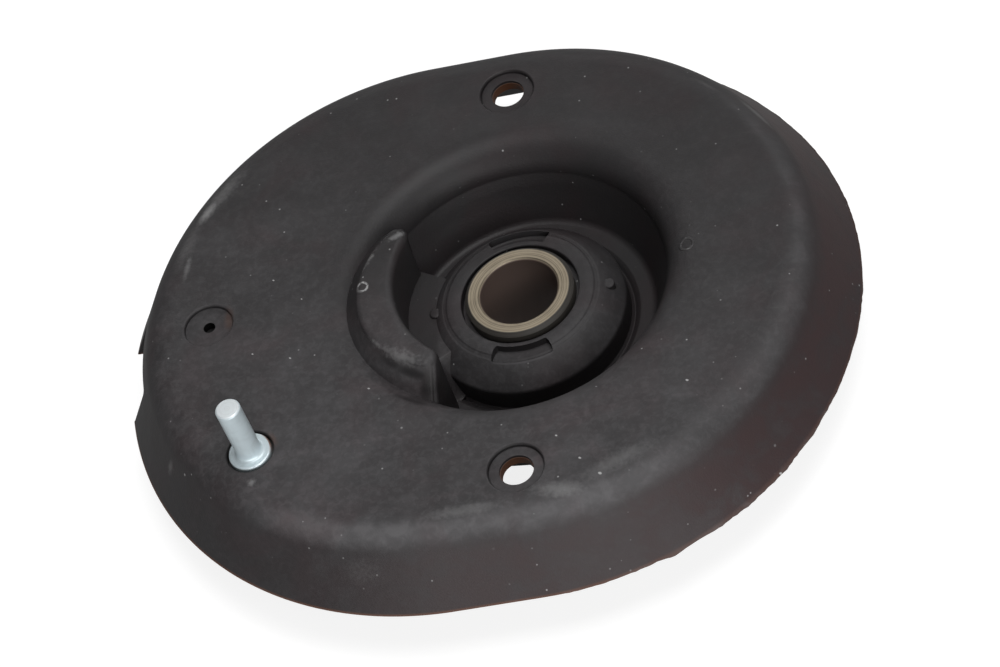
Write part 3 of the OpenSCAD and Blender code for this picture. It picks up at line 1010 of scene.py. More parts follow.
def build_spot_group(name):
    """One spot at a place, as a mask that is full within Inner and gone past Outer, in millimetres."""
    tree, given, result = new_group(
        name, {"Coord": NOWHERE, "Place": NOWHERE, "Stretch": (1.0, 1.0, 1.0), "Turn": 0.0,
               "Inner": 1.0, "Outer": 2.0, "Ragged": 0.0}, ["Mask", "Distance"])
    apart = vector(tree, "SUBTRACT", given["Coord"], given["Place"])[0]
    turned = add_node(tree, "ShaderNodeVectorRotate", {"Vector": apart, "Angle": given["Turn"]},
                      rotation_type="Z_AXIS").outputs[0]
    far = vector(tree, "LENGTH", vector(tree, "DIVIDE", turned, given["Stretch"])[0])["Value"]
    rough = clouds(tree, given["Coord"], 900.0)
    wander = times(tree, calc(tree, "SUBTRACT", rough, 0.5), given["Ragged"])
    distance = plus(tree, times(tree, far, 1 / MM), wander)
    mask = fade(tree, distance, given["Inner"], given["Outer"], 1.0, 0.0)
    tree.links.new(mask, result["Mask"])
    tree.links.new(distance, result["Distance"])


def build_grain_group(name):
    """Fine surface grain, as a height."""
    tree, given, result = new_group(name, {"Coord": NOWHERE, "Fine": 0.5, "Broad": 6.0}, ["Height"])
    heights = [times(tree, clouds(tree, given["Coord"], per_mm(tree, given[size])), share)
               for size, share in (("Fine", 0.35), ("Broad", 1.0))]
    tree.links.new(plus(tree, *heights), result["Height"])


def build_turning_group(name):
    """Turned rings round an upright axis, as a height."""
    tree, given, result = new_group(name, {"Coord": NOWHERE, "Place": NOWHERE, "Pitch": 0.5}, ["Height"])
    apart = vector(tree, "SUBTRACT", given["Coord"], given["Place"])[0]
    radius = vector(tree, "LENGTH", vector(tree, "MULTIPLY", apart, (1.0, 1.0, 0.0))[0])["Value"]
    rings = calc(tree, "DIVIDE", radius, times(tree, given["Pitch"], MM))
    waves = add_node(tree, "ShaderNodeTexNoise", {"W": rings, "Scale": 1.0, "Detail": 2.0},
                     noise_dimensions="1D").outputs[0]
    tree.links.new(waves, result["Height"])


def build_groups():
    """Builds the shared effects once."""
    for name, build in (("dust_film", build_dust_group), ("specks", build_speck_group),
                        ("spot", build_spot_group), ("grain", build_grain_group),
                        ("turning", build_turning_group)):
        if name not in bpy.data.node_groups:
            build(name)


def new_material(name):
    """A material with a Principled BSDF and the object's own coordinates."""
    build_groups()
    material = bpy.data.materials.new(name)
    material.use_nodes = True
    tree = material.node_tree
    tree.nodes.clear()
    surface = tree.nodes.new("ShaderNodeBsdfPrincipled")
    output = tree.nodes.new("ShaderNodeOutputMaterial")
    tree.links.new(surface.outputs[0], output.inputs["Surface"])
    coord = tree.nodes.new("ShaderNodeTexCoord").outputs["Object"]
    return material, tree, surface, coord


def bump(tree, height, distance):
    """A normal with a height pressed into it."""
    return add_node(tree, "ShaderNodeBump", {
        "Height": height, "Distance": distance, "Strength": 1.0}).outputs[0]


def film(tree, coord, patch, streak):
    """A mask of a dusty film: the size of its patches in millimetres, and the share of its streaks."""
    return place_group(tree, "dust_film", {"Coord": coord, "Patch": patch, "Streak": streak})["Mask"]


def specks(tree, coord, spacing, size, share):
    """A mask of specks: their spacing and size in millimetres, and the share of cells that have one."""
    return place_group(tree, "specks", {
        "Coord": coord, "Spacing": spacing, "Size": size, "Share": share})["Mask"]


def spot(tree, coord, place, inner, outer, stretch=(1.0, 1.0, 1.0), turn=0.0, ragged=0.0):
    """A mask of a spot that is full within inner and gone past outer, in millimetres."""
    return place_group(tree, "spot", {
        "Coord": coord, "Place": place, "Stretch": stretch, "Turn": math.radians(turn),
        "Inner": inner, "Outer": outer, "Ragged": ragged})["Mask"]


def axis_distance(tree, coord, place=NOWHERE):
    """Distance from an upright axis, in millimetres."""
    return place_group(tree, "spot", {"Coord": coord, "Place": place, "Stretch": UPRIGHT})["Distance"]


def ring_mask(tree, coord, place, radius, width):
    """A mask of a thin ring round an upright axis; radius and width in millimetres."""
    off = calc(tree, "ABSOLUTE", calc(tree, "SUBTRACT", axis_distance(tree, coord, place), radius))
    return fade(tree, off, 0.3 * width, width, 1.0, 0.0)


def marks(tree, coord, places):
    """A mask of listed marks: place, stretch, turn, inner and outer size, raggedness, share."""
    masks = []
    for (x, y, rise), stretch, turn, inner, outer, ragged, share in places:
        place = (x * MM, y * MM, FLANGE_TOP + rise * MM)
        masks.append(times(tree, spot(tree, coord, place, inner, outer, stretch, turn, ragged), share))
    return largest(tree, *masks)


# Marks on the rubber, listed one by one: places in millimetres, their heights from the flange's top
PALE_SPECKS = [
    (-47.1, -6.9, 0.75), (-40.4, -31.7, 0.5), (22.7, -72.5, 0.7), (17.5, -66.6, 0.6), (22.5, -43.8, 0.55),
    (11.3, -58.0, 0.4), (-59.9, 3.5, 0.4), (-73.8, -12.9, 0.4), (-62.9, -16.6, 0.4), (-68.2, 11.9, 0.4),
    (47.3, -47.1, 0.6)]
# Pale marks: scuffs and dust, with painted highlights on the bends and the crescent's top edge
SCUFFS_AND_HIGHLIGHTS = [
    # Upper-left bend: scuffs with a painted highlight along the bend
    ((-88.4, 41.6, -1.2), (2.6, 1.0, 1.6), -57, 0.0, 2.6, 1.4, 0.42),
    ((-84.0, 47.5, -2.0), (4.5, 1.4, 1.8), -52, 0.0, 3.0, 2.0, 0.17),
    ((-94.0, 30.0, -2.5), (5.0, 1.3, 1.8), -68, 0.0, 2.8, 2.0, 0.12),
    ((-93.8, 22.2, -0.5), (4.2, 0.8, 1.5), -79, 0.0, 1.6, 1.2, 0.15),
    ((-72.9, -56.6, 0.0), (1.0, 1.0, 1.0), 0, 0.0, 1.6, 2.0, 0.22),
    # Painted highlights along the upper-right bend
    ((71.4, 43.2, -3.0), (5.5, 0.6, 1.3), 53, 0.0, 2.3, 0.8, 0.16),
    ((57.5, 55.5, -2.0), (3.5, 0.6, 1.2), 44, 0.0, 2.0, 1.2, 0.07),
    ((11.7, -75.2, -0.5), (3.2, 1.2, 1.0), 8, 0.3, 2.9, 2.2, 0.17),
    ((28.0, -69.0, -0.3), (5.0, 1.2, 1.0), -22, 0.3, 3.0, 2.6, 0.10),
    ((-14.0, -77.0, -0.6), (6.0, 1.0, 1.0), 0, 0.3, 2.6, 2.4, 0.10),
    ((-99.9, -39.9, -8.0), (1.0, 1.0, 3.0), 40, 0.3, 2.0, 1.8, 0.14),
    ((-46.0, -86.0, -8.0), (2.6, 1.4, 2.2), 8, 0.3, 3.4, 3.6, 0.05),
    ((-31.4, 16.2, 4.4), (2.0, 0.8, 1.0), -24, 0.2, 1.8, 2.0, 0.24),
    # Crescent's top edge: chalk wear with a painted highlight on the rounded edge
    ((-39.0, 9.6, 4.0), (3.4, 0.6, 1.0), -62, 0.1, 1.4, 2.0, 0.24),
    ((-30.2, -25.8, 4.0), (3.6, 1.3, 1.0), 30, 0.1, 2.4, 3.6, 0.13),
    ((-37.5, -20.5, 4.2), (3.0, 0.9, 1.0), 55, 0.1, 1.8, 2.6, 0.16)]
# Painted shade on the crescent's flank under its lower tip
FLANK_SHADE = [
    ((-27.0, -30.6, 1.4), (5.0, 1.1, 1.3), 33, 0.2, 1.7, 0.4, 0.85),
    ((-33.8, -25.2, 1.5), (3.5, 1.1, 1.3), 48, 0.2, 1.6, 0.4, 0.65),
    ((-23.3, -33.6, -1.5), (1.9, 2.0, 4.0), 0, 0.4, 2.2, 0.4, 0.90),
    ((-28.5, -37.4, -0.6), (5.5, 0.9, 1.5), 28, 0.1, 1.5, 0.4, 0.60)]
SPECK_STRETCH = (1.3, 0.8, 1.0)
SPECK_TURN = 35
# Films on the rubber: the size of their patches in millimetres, the share of their streaks
RUBBER_FILMS = {"broad": (34.0, 0.4), "mottle": (7.0, 0.2), "fine": (1.7, 0.2), "earthy": (21.0, 0.3)}
# How much each film adds to the dust
DUST_SHARES = {"broad": 0.34, "mottle": 0.26, "fine": 0.38}
DUST_BASE = 0.22
# The earthy film's tints of the clean rubber and of the dust
EARTHY_RUBBER = (1.15, 0.85, 0.88)
EARTHY_DUST = (1.0, 0.82, 0.83)
# Middle of the painted light on the crescent's back, and the two plain moulded rings with their radii in
# millimetres
CRESCENT_BACK = (-0.037, -0.012, 0.0)
CRESCENT_RING = (-0.0411, 0.0002, 0.0)
CRESCENT_RING_R = 1.55
FLANGE_RING = (0.0492, -0.0007, 0.0)
FLANGE_RING_R = 1.9
RING_WIDTH = 0.5
# Radius of the crease round the dome, in millimetres
CREASE_R = 21.7


class RubberFinish:
    """Charcoal rubber: dust on what faces up, a brown skirt, a rusty rim, dirt and chalk marks, with painted
    light on the front, the dome and the crescent's back, painted shade in the well, on the lip's far slope,
    on the crescent's flank and in the pin hole, and painted highlights on bends and edges.
    """

    def __init__(self, mount):
        self.mount = mount
        self.colours = mount.colours
        self.material, self.tree, self.surface, self.coord = new_material("moulded_rubber")
        tree, coord = self.tree, self.coord
        facing = tree.nodes.new("ShaderNodeTexCoord").outputs["Normal"]
        self.x, self.y, self.z = add_node(tree, "ShaderNodeSeparateXYZ", {0: coord}).outputs
        self.upward = add_node(tree, "ShaderNodeSeparateXYZ", {0: facing}).outputs["Z"]
        self.radius = axis_distance(tree, coord)
        self.films = {name: film(tree, coord, *sizes) for name, sizes in RUBBER_FILMS.items()}
        dome_r = mount.well.dome_r / MM
        # The dome's surface right of the ledge; its steep slopes take dust tone as painted light below
        self.on_dome = times(tree, fade(tree, self.radius, dome_r - 0.3, dome_r + 0.6, 1.0, 0.0),
                             fade(tree, self.x, -25 * MM, -23 * MM))
        bent = times(tree, fade(tree, self.upward, 0.45, 0.85), fade(tree, self.upward, 0.90, 1.0, 1.0, 0.0))
        in_front = fade(tree, self.y, -74 * MM, -62 * MM, 1.0, 0.0)
        on_right = fade(tree, self.x, 52 * MM, 70 * MM, 0.0, 0.55)
        self.on_bend = times(tree, bent, largest(tree, in_front, on_right))
        # Painted shade on the crescent's flank
        self.flank = marks(tree, coord, FLANK_SHADE)
        self.flange_ring = ring_mask(tree, coord, FLANGE_RING, FLANGE_RING_R, RING_WIDTH)

    def along(self, x_share, y_share):
        """A length along a level direction."""
        return plus(self.tree, times(self.tree, self.x, x_share), times(self.tree, self.y, y_share))

    def below(self, low, high):
        """A mask that is full under one height and gone over another, both from the flange's top."""
        return fade(self.tree, self.z, FLANGE_TOP + low, FLANGE_TOP + high, 1.0, 0.0)

    def dust(self):
        """The dust's share, which also carries painted light and shade: most on what faces up, more towards
        the front and on the dome's slopes and the crescent's back as painted light, less in the well, on the
        lip's far slope and on the crescent's flank as painted shade.
        """
        tree, radius = self.tree, self.radius
        front_r = self.mount.crescent.front_r / MM
        throat_r = self.mount.well.throat_r / MM
        # Painted light: dust tone on the crescent's back lightens that wall where fill light would reach it
        crescent_back_light = times(tree, spot(tree, self.coord, CRESCENT_BACK, 17.0, 24.0, UPRIGHT),
                        fade(tree, radius, front_r + 0.8, front_r + 2.4, 0.0, 0.55))
        # Dust on what faces up, with painted light: the crescent's back and the dome's steep slopes get dust
        # tone too
        lying_and_lit = largest(tree, fade(tree, self.upward, 0.16, 0.97), crescent_back_light,
                        times(tree, self.on_dome, fade(tree, self.upward, 0.05, 0.6)))
        parts = [times(tree, self.films[name], share) for name, share in DUST_SHARES.items()]
        # Painted light: the dust's share grows towards the front, so the flange's front side reads lighter,
        # as if lit from there
        front = fade(tree, self.along(-0.40, -1.0), -70 * MM, 72 * MM, 0.28, 1.14)
        share = times(tree, lying_and_lit, plus(tree, DUST_BASE, *parts), front)
        # Painted shade: deep in the well the dust is taken away, except on the dome, to darken the hollow;
        # partly cleaner rubber there
        in_well = times(tree, fade(tree, radius, throat_r + 2, throat_r + 5, 1.0, 0.0),
                        self.below(-6 * MM, -3 * MM))
        well_shade = times(tree, in_well, calc(tree, "SUBTRACT", 0.95, times(tree, self.on_dome, 0.80)))
        # Painted shade: less dust on the lip's far slope, which faces away from the light
        far_lip_shade = times(tree, fade(tree, radius, throat_r + 2, throat_r + 14, 0.75, 0.0),
                        fade(tree, self.along(-0.5, 1.0), 0.0, 30 * MM))
        # Painted shade: the well, the lip's far slope and the crescent's flank lose dust
        for mask in (well_shade, far_lip_shade, self.flank):
            share = spare(tree, share, mask)
        on_bend = times(tree, self.on_bend, fade(tree, self.films["mottle"], 0.0, 1.0, 0.35, 0.60))
        return plus(tree, share, on_bend)

    def dusted_and_lit(self, dusty):
        """The rubber's tone under its dust and the painted light and shade in the dust's share, partly
        earthy.
        """
        tree, rubber, dust = self.tree, self.colours.rubber, self.colours.dust
        earthy_rubber = [part * tint for part, tint in zip(rubber, EARTHY_RUBBER)]
        earthy_dust = [part * tint for part, tint in zip(dust, EARTHY_DUST)]
        return mix(tree, times(tree, self.films["earthy"], 0.75),
                   mix(tree, dusty, colour(rubber), colour(dust)),
                   mix(tree, dusty, colour(earthy_rubber), colour(earthy_dust)))

    def stained_and_shaded(self, tone):
        """A tone with the skirt's brown, painted shade on the crescent's flank, and rust at the rim and two
        openings.
        """
        tree, coord, openings = self.tree, self.coord, self.mount.openings
        outside = fade(tree, vector(tree, "LENGTH", coord)["Value"], 70 * MM, 84 * MM)
        patchy = fade(tree, plus(tree, self.films["broad"], self.films["mottle"]), 0.1, 1.1, 1.0, 0.45)
        rightward = fade(tree, self.along(1.0, -0.35), -70 * MM, 80 * MM)
        brown = times(tree, self.below(-9 * MM, -2 * MM), rightward, outside, patchy)
        tone = mix(tree, brown, tone, colour(self.colours.skirt_tint))
        # Painted shade: the crescent's flank darkened towards a darker rubber
        tone = mix(tree, times(tree, self.flank, 0.7), tone, colour(self.colours.rubber, 0.35))
        rim = -self.mount.flange.skirt_drop
        rim_rust = times(tree, self.below(rim + 0.2 * MM, rim + 1.0 * MM), outside,
                         fade(tree, self.x, -10 * MM, 60 * MM, 0.55, 0.15))
        recess_side = (openings.recess_x + 0.85 * openings.recess_r, 1.6 * MM, FLANGE_TOP - 1 * MM)
        stud_side = (STUD_PLACE.x + 6.4 * MM, STUD_PLACE.y + 2.8 * MM, FLANGE_TOP - 0.3 * MM)
        spots = largest(
            tree, spot(tree, coord, recess_side, 0.6, 3.2, (0.7, 1.6, 1.0), ragged=1.2),
            spot(tree, coord, stud_side, 0.4, 2.6, (0.6, 1.5, 1.0), -25, 1.4))
        rusty = largest(tree, rim_rust, times(tree, spots, 0.18))
        return mix(tree, rusty, tone, colour(self.colours.rust))

    def grimed_and_shaded(self, tone):
        """A tone with dark lines round the openings, which are dirt and painted shade at their edges, and a
        pin hole darkened as painted shade.
        """
        tree, coord, openings = self.tree, self.coord, self.mount.openings
        # Dark lines round the openings: dirt and painted shade at their rounded edges
        edges = [(place, openings.bolt_r) for place in BOLT_PLACES] + [(STUD_PLACE, openings.stud_r)]
        lines = [ring_mask(tree, coord, place, edge_r / MM + 0.1, 0.5) for place, edge_r in edges]
        pin_r = openings.pin_r / MM
        # Painted shade: the pin hole is darkened nearly to black
        pin = spot(tree, coord, (openings.recess_x, 0.0, 0.0), pin_r, pin_r + 0.1, UPRIGHT)
        grime_and_shade = largest(tree, times(tree, largest(tree, *lines), 0.5), pin)
        return mix(tree, grime_and_shade, tone, colour(self.colours.rubber, 0.15))

    def chalked_and_highlit(self, tone):
        """A tone with specks, scuffs, painted highlights on the bends and the crescent's top edge, the
        moulded rings in chalk, and a painted highlight in dust tone at the pockets' rims.
        """
        tree, coord, fine = self.tree, self.coord, self.films["fine"]
        placed = [((x, y, 0.0), SPECK_STRETCH, SPECK_TURN, 0.3 * size, 0.8 * size, 0.5, 0.75)
                  for x, y, size in PALE_SPECKS]
        crescent_ring = times(
            tree, ring_mask(tree, coord, CRESCENT_RING, CRESCENT_RING_R, RING_WIDTH),
            fade(tree, self.z, FLANGE_TOP + 3.5 * MM, FLANGE_TOP + 4.2 * MM),
            fade(tree, fine, 0.1, 0.6, 0.15, 0.7))
        flange_ring = times(tree, self.flange_ring, fade(tree, fine, 0.2, 0.7, 0.03, 0.3))
        on_bend = times(tree, self.on_bend, fade(tree, self.films["mottle"], 0.0, 1.0, 0.025, 0.045))
        # Specks, scuffs, painted highlights and the moulded rings, all in chalk
        chalk_and_highlights = largest(
            tree, times(tree, specks(tree, coord, 4.2, 0.34, 0.85), 0.6),
            times(tree, specks(tree, coord, 11.0, 0.5, 0.5), 0.7), on_bend,
            marks(tree, coord, placed), marks(tree, coord, SCUFFS_AND_HIGHLIGHTS), crescent_ring, flange_ring)
        tone = mix(tree, chalk_and_highlights, tone, colour(self.colours.chalk))
        # Painted highlight: a pale line in dust tone along the pockets' outer rims
        across = fade(tree, calc(tree, "ABSOLUTE", self.x), 7.6 * MM, 9.2 * MM, 0.55, 0.0)
        pocket_r = self.mount.well.pocket_out_r / MM + 0.1
        pocket_rim_highlight = times(tree, ring_mask(tree, coord, NOWHERE, pocket_r, 0.45), across)
        return mix(tree, pocket_rim_highlight, tone, colour(self.colours.dust))

    def relief(self):
        """The height of the grain, the moulded ring on the flange and the crease round the dome."""
        tree, coord = self.tree, self.coord
        grain = place_group(tree, "grain", {"Coord": coord, "Fine": 0.55, "Broad": 7.0})["Height"]
        crease = ring_mask(tree, coord, NOWHERE, CREASE_R, 0.9)
        return plus(tree, grain, times(tree, self.flange_ring, 1.5), times(tree, crease, -1.2))

    def build(self):
        """The finished material."""
        # The dust's share, with painted light and shade in it
        dusty = self.dust()
        tone = self.chalked_and_highlit(self.grimed_and_shaded(self.stained_and_shaded(self.dusted_and_lit(dusty))))
        feed(self.tree, self.surface, {
            "Base Color": tone, "Roughness": plus(self.tree, 0.50, times(self.tree, dusty, 0.25)),
            "Specular IOR Level": 0.28, "Normal": bump(self.tree, self.relief(), 0.15 * MM)})
        return self.material


def plate_finish(colours):
    """Grey-black coat with rust in the drilled holes and thinly round them; the rust inside the holes is
    darkened as painted shade.
    """
    material, tree, surface, coord = new_material("coated_plate")
    dusty = times(tree, film(tree, coord, 12.0, 0.4), 0.5)
    tone = mix(tree, dusty, colour(colours.coat), colour(colours.dust))
    mottle = film(tree, coord, 2.2, 0.3)
    hole_r = BOLT_HOLE_R / MM
    rims = [spot(tree, coord, place, hole_r, hole_r + 1.3, UPRIGHT, ragged=1.4) for place in BOLT_PLACES]
    rusty_shaded_walls = [spot(tree, coord, place, hole_r + 0.02, hole_r + 0.2, UPRIGHT) for place in BOLT_PLACES]
    thin = times(tree, largest(tree, *rims), fade(tree, mottle, 0.1, 0.7, 0.1, 0.55))
    tone = mix(tree, thin, tone, colour(colours.rust))
    # Rust inside the holes, darkened as painted shade
    tone = mix(tree, largest(tree, *rusty_shaded_walls), tone, colour(colours.rust, 0.55))
    grain = place_group(tree, "grain", {"Coord": coord, "Fine": 0.4, "Broad": 3.0})["Height"]
    feed(tree, surface, {"Base Color": tone, "Roughness": 0.55, "Specular IOR Level": 0.35,
                         "Normal": bump(tree, grain, 0.06 * MM)})
    return material


def sleeve_finish(colours, steel):
    """Turned tan steel with an oily bore and a darker outside."""
    material, tree, surface, coord = new_material("turned_sleeve")
    radius = axis_distance(tree, coord)
    inside = fade(tree, radius, BORE_R / MM + 0.05, BORE_R / MM + 0.35, 1.0, 0.0)
    edge = (SLEEVE_HIGH.x - steel.sleeve_chamfer) / MM
    outside = fade(tree, radius, edge - 0.5, edge + 0.1)
    rings = place_group(tree, "turning", {"Coord": coord, "Pitch": 0.42})["Height"]
    worn = plus(tree, times(tree, film(tree, coord, 6.0, 0.4), 0.3), fade(tree, rings, 0.44, 0.60, 0.0, 0.7))
    tone = mix(tree, worn, colour(colours.sleeve), colour(colours.sleeve, 0.42))
    tone = mix(tree, times(tree, outside, 0.95), tone, colour(colours.coat, 0.4))
    tone = mix(tree, inside, tone, colour(colours.bore))
    bare = calc(tree, "SUBTRACT", 1.0, largest(tree, inside, outside))
    feed(tree, surface, {
        "Base Color": tone, "Metallic": times(tree, bare, 0.6),
        "Roughness": plus(tree, 0.62, times(tree, bare, -0.18)), "Normal": bump(tree, rings, 0.05 * MM)})
    return material


def zinc_finish(colours, steel):
    """Pale zinc with turned rings, a dull collar, a painted highlight on the tip and rust at the collar's
    edge.
    """
    material, tree, surface, coord = new_material("zinc_plating")
    dull = colour(colours.zinc, 0.5)
    rings = place_group(tree, "turning", {"Coord": coord, "Place": STUD_PLACE, "Pitch": 0.45})["Height"]
    worn = plus(tree, times(tree, film(tree, coord, 3.0, 0.6), 0.22), fade(tree, rings, 0.4, 0.7, 0.0, 0.25))
    tone = mix(tree, worn, colour(colours.zinc), dull)
    height = add_node(tree, "ShaderNodeSeparateXYZ", {0: coord}).outputs["Z"]
    on_collar = fade(tree, height, PLATE_TOP + 1.6 * MM, PLATE_TOP + 3.2 * MM, 0.30, 0.0)
    tone = mix(tree, on_collar, tone, dull)
    # Painted highlight: the tip's top face lightened towards white
    tip_highlight = fade(tree, height, STUD_HIGH.z - 0.4 * MM, STUD_HIGH.z - 0.1 * MM, 0.0, 0.45)
    tone = mix(tree, tip_highlight, tone, (0.95, 0.95, 0.95, 1.0))
    rust_place = (STUD_PLACE.x + 5.4 * MM, STUD_PLACE.y + 2.6 * MM, PLATE_TOP + 1.6 * MM)
    rim = ring_mask(tree, coord, STUD_PLACE, steel.stud_collar_r / MM, 0.6)
    rusty = times(tree, spot(tree, coord, rust_place, 1.0, 5.0, ragged=1.6), rim, 0.9)
    tone = mix(tree, rusty, tone, colour(colours.rust))
    feed(tree, surface, {"Base Color": tone, "Metallic": 0.30, "Roughness": 0.40,
                         "Normal": bump(tree, rings, 0.07 * MM)})
    return material


def finish_piece(piece, material, node):
    """Gives a piece its finish and lets it stand for its CAD node."""
    piece.data.materials.clear()
    piece.data.materials.append(material)
    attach(piece, "root")
    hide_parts(node)


class STRUTMOUNT_OT_stage(Operator):
    """Set the camera, the lamps and the white floor"""

    bl_idname = "strut_mount.stage"
    bl_label = "Set the Stage"

    def execute(self, context):
        stage = settings(context).stage
        scene = context.scene
        scene.view_settings.view_transform = "Standard"
        camera = bpy.data.objects.new("photo_camera", bpy.data.cameras.new("photo_camera"))
        scene.collection.objects.link(camera)
        camera.location = stage.camera_place
        camera.rotation_euler = stage.camera_turn
        camera.data.lens = stage.lens
        camera.data.sensor_width = 36.0
        camera.data.sensor_fit = "HORIZONTAL"
        camera.data.clip_start = 0.01
        scene.camera = camera
        self.lamp(scene, "top_lamp", (0.0, 0.0, 1.6), (1.4, 1.2), stage.top_power)
        self.lamp(scene, "key_lamp", (0.28, 0.06, 1.48), (0.8, 0.8), stage.key_power)
        self.lamp(scene, "fill_lamp", (0.65, -1.1, 0.8), (0.9, 0.6), stage.fill_power)
        self.lamp(scene, "back_strip", (0.0, 1.3, 0.55), (1.8, 0.3), stage.back_power)
        self.lamp(scene, "front_strip", (0.1, -1.3, 0.12), (1.6, 0.25), stage.front_power)
        self.room(scene, stage)
        self.floor(stage)
        return {"FINISHED"}

    def lamp(self, scene, name, place, size, power):
        """Hangs a rectangular lamp that looks at the middle of the flange."""
        data = bpy.data.lights.new(name, "AREA")
        data.shape = "RECTANGLE"
        data.size, data.size_y = size
        data.energy = power
        made = bpy.data.objects.new(name, data)
        scene.collection.objects.link(made)
        made.location = place
        aim = Vector((0, 0, FLANGE_TOP)) - Vector(place)
        made.rotation_euler = aim.to_track_quat("-Z", "Y").to_euler()

    def seen(self, tree, shine):
        """1 for rays from the camera, and a share of that for rays from a reflection."""
        path = tree.nodes.new("ShaderNodeLightPath").outputs
        return largest(tree, path["Is Camera Ray"], times(tree, path["Is Glossy Ray"], shine))

    def room(self, scene, stage):
        """Sets a room that is white to the camera and dim to all else."""
        world = scene.world or bpy.data.worlds.new("room")
        scene.world = world
        world.use_nodes = True
        tree = world.node_tree
        tree.nodes.clear()
        path = tree.nodes.new("ShaderNodeLightPath").outputs
        strength = fade(tree, path["Is Camera Ray"], 0.0, 1.0, stage.room_light, 1.0)
        light = add_node(tree, "ShaderNodeBackground", {"Color": (1, 1, 1, 1), "Strength": strength})
        output = tree.nodes.new("ShaderNodeOutputWorld")
        tree.links.new(light.outputs[0], output.inputs["Surface"])

    def floor(self, stage):
        """Lays the floor, which shines white by itself and takes soft shadows."""
        bm = bmesh.new()
        bmesh.ops.create_grid(bm, x_segments=1, y_segments=1, size=stage.floor_size / 2)
        bmesh.ops.translate(bm, verts=bm.verts[:], vec=(0, 0, -0.0002))
        floor = make_object("floor", bm)
        material = bpy.data.materials.new("white_floor")
        material.use_nodes = True
        tree = material.node_tree
        tree.nodes.clear()
        grey = add_node(tree, "ShaderNodeBsdfDiffuse", {"Color": colour([stage.floor_grey] * 3)})
        strength = times(tree, self.seen(tree, stage.floor_shine), stage.floor_white)
        white = add_node(tree, "ShaderNodeEmission", {"Color": (1, 1, 1, 1), "Strength": strength})
        both = add_node(tree, "ShaderNodeAddShader", {0: grey.outputs[0], 1: white.outputs[0]})
        output = tree.nodes.new("ShaderNodeOutputMaterial")
        tree.links.new(both.outputs[0], output.inputs["Surface"])
        floor.data.materials.append(material)


class STRUTMOUNT_OT_rubber(Operator):
    """Model the moulded rubber: flange, skirt, well, bush, crescent and openings"""

    bl_idname = "strut_mount.rubber"
    bl_label = "Model the Rubber"

    def execute(self, context):
        mount = settings(context)
        skin = rubber_skin(mount.flange, mount.well)
        cut_or_join(skin, ledge_block(mount.well, mount.crescent), "UNION")
        cut_or_join(skin, crescent_block(mount.flange, mount.well, mount.crescent), "UNION")
        cut_or_join(skin, moulded_pegs(mount.flange, mount.well, mount.openings), "UNION")
        cut_or_join(skin, pockets_cutter(mount.well), "DIFFERENCE")
        cut_or_join(skin, openings_cutter(mount.flange, mount.openings), "DIFFERENCE")
        cut_or_join(skin, notch_cutter(mount.flange), "DIFFERENCE")
        smooth(skin)
        finish_piece(skin, RubberFinish(mount).build(), "rubber_body")
        return {"FINISHED"}


class STRUTMOUNT_OT_sleeve(Operator):
    """Turn the steel sleeve with broken edges"""

    bl_idname = "strut_mount.sleeve"
    bl_label = "Turn the Sleeve"

    def execute(self, context):
        mount = settings(context)
        steel = mount.steel
        low, high, outer = SLEEVE_LOW.z, SLEEVE_HIGH.z, SLEEVE_HIGH.x
        edge = steel.edge_round
        bm = bmesh.new()
        chain = rounded([
            (BORE_R, (low + high) / 2, 0),
            (BORE_R, high - steel.bore_chamfer, edge),
            (BORE_R + steel.bore_chamfer, high, edge),
            (outer - steel.sleeve_chamfer, high, edge),
            (outer, high - steel.sleeve_chamfer, edge),
            (outer, low, edge),
            (BORE_R, low, edge),
            (BORE_R, (low + high) / 2, 0)])
        lathe(bm, chain[:-1], steps=160, closed=True)
        tidy(bm)
        sleeve = make_object("turned_sleeve", bm)
        smooth(sleeve)
        finish_piece(sleeve, sleeve_finish(mount.colours, steel), "inner_sleeve")
        return {"FINISHED"}


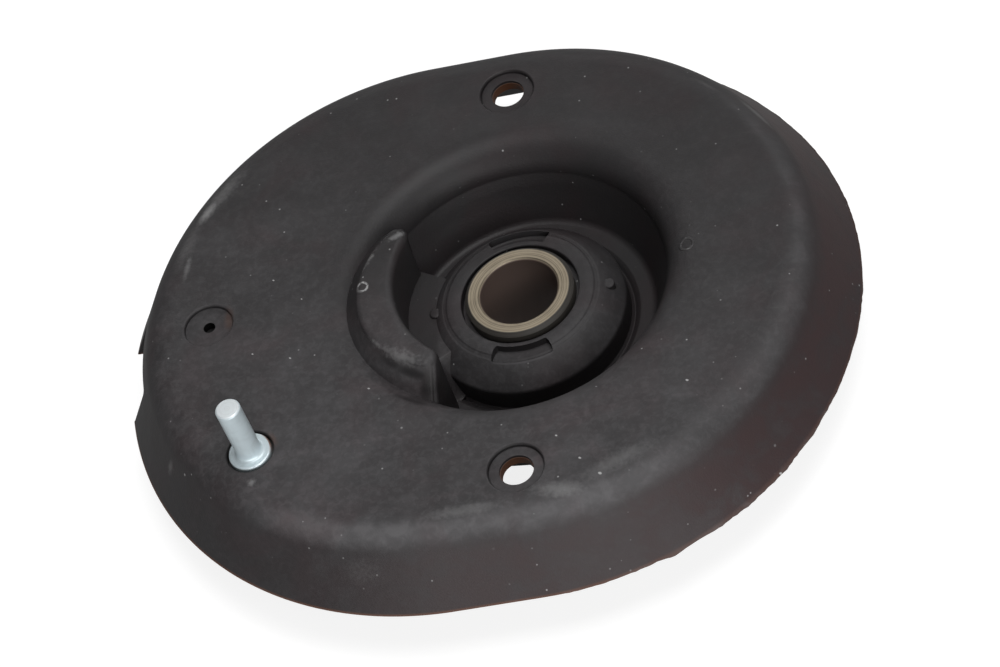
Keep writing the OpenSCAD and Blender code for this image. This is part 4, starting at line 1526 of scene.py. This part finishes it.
class STRUTMOUNT_OT_stud(Operator):
    """Turn the zinc plated locating stud"""

    bl_idname = "strut_mount.stud"
    bl_label = "Turn the Stud"

    def execute(self, context):
        mount = settings(context)
        steel = mount.steel
        edge = steel.edge_round
        low, tip = STUD_LOW.z, STUD_HIGH.z
        under = PLATE_TOP - mount.flange.plate_t
        collar = PLATE_TOP + steel.stud_collar_h
        bm = bmesh.new()
        chain = rounded([
            (0, low, 0),
            (steel.stud_rivet_r, low, 2 * edge),
            (steel.stud_rivet_r, under, 0),
            (steel.stud_shank_r, under, 0),
            (steel.stud_shank_r, PLATE_TOP, 0),
            (steel.stud_collar_r, PLATE_TOP, 0),
            (steel.stud_collar_r, collar, 2 * edge),
            (STUD_R, collar, 4 * edge),
            (STUD_R, tip - steel.stud_chamfer, edge),
            (STUD_R - steel.stud_chamfer, tip, edge),
            (0, tip, 0)])
        lathe(bm, chain, centre=STUD_PLACE.xy, steps=72)
        tidy(bm)
        stud = make_object("zinc_stud", bm)
        smooth(stud)
        finish_piece(stud, zinc_finish(mount.colours, steel), "locating_stud")
        return {"FINISHED"}


class STRUTMOUNT_OT_plates(Operator):
    """Coat the pressed plate and the dish, which keep their CAD shapes"""

    bl_idname = "strut_mount.plates"
    bl_label = "Coat the Plates"

    def execute(self, context):
        material = plate_finish(settings(context).colours)
        for name in ("carrier_plate", "armature_dish"):
            for slot in frame["nodes"][name].material_slots:
                slot.material = material
        return {"FINISHED"}


class STRUTMOUNT_PT_looks(Panel):
    """Sizes, colours and steps of the strut mount"""

    bl_label = "Strut Mount"
    bl_idname = "STRUTMOUNT_PT_looks"
    bl_space_type = "VIEW_3D"
    bl_region_type = "UI"
    bl_category = "Strut Mount"

    def draw(self, context):
        mount = settings(context)
        for operator in OPERATORS:
            self.layout.operator(operator.bl_idname)
        for group in (mount.flange, mount.well, mount.crescent, mount.openings, mount.steel,
                      mount.colours, mount.stage):
            box = self.layout.box()
            for name in group.bl_rna.properties.keys():
                if name not in {"rna_type", "name"}:
                    box.prop(group, name)


OPERATORS = (
    STRUTMOUNT_OT_stage,
    STRUTMOUNT_OT_rubber,
    STRUTMOUNT_OT_sleeve,
    STRUTMOUNT_OT_stud,
    STRUTMOUNT_OT_plates,
)
CLASSES = (
    FlangeSizes,
    WellSizes,
    CrescentSizes,
    OpeningSizes,
    SteelSizes,
    FinishColours,
    StageSettings,
    StrutMountSettings,
    *OPERATORS,
    STRUTMOUNT_PT_looks,
)


def register():
    for item in CLASSES:
        bpy.utils.register_class(item)
    bpy.types.Scene.strut_mount = PointerProperty(type=StrutMountSettings)


def unregister():
    del bpy.types.Scene.strut_mount
    for item in reversed(CLASSES):
        bpy.utils.unregister_class(item)


def main():
    register()
    bpy.ops.strut_mount.stage()
    bpy.ops.strut_mount.rubber()
    bpy.ops.strut_mount.sleeve()
    bpy.ops.strut_mount.stud()
    bpy.ops.strut_mount.plates()


if __name__ == "__main__":
    main()
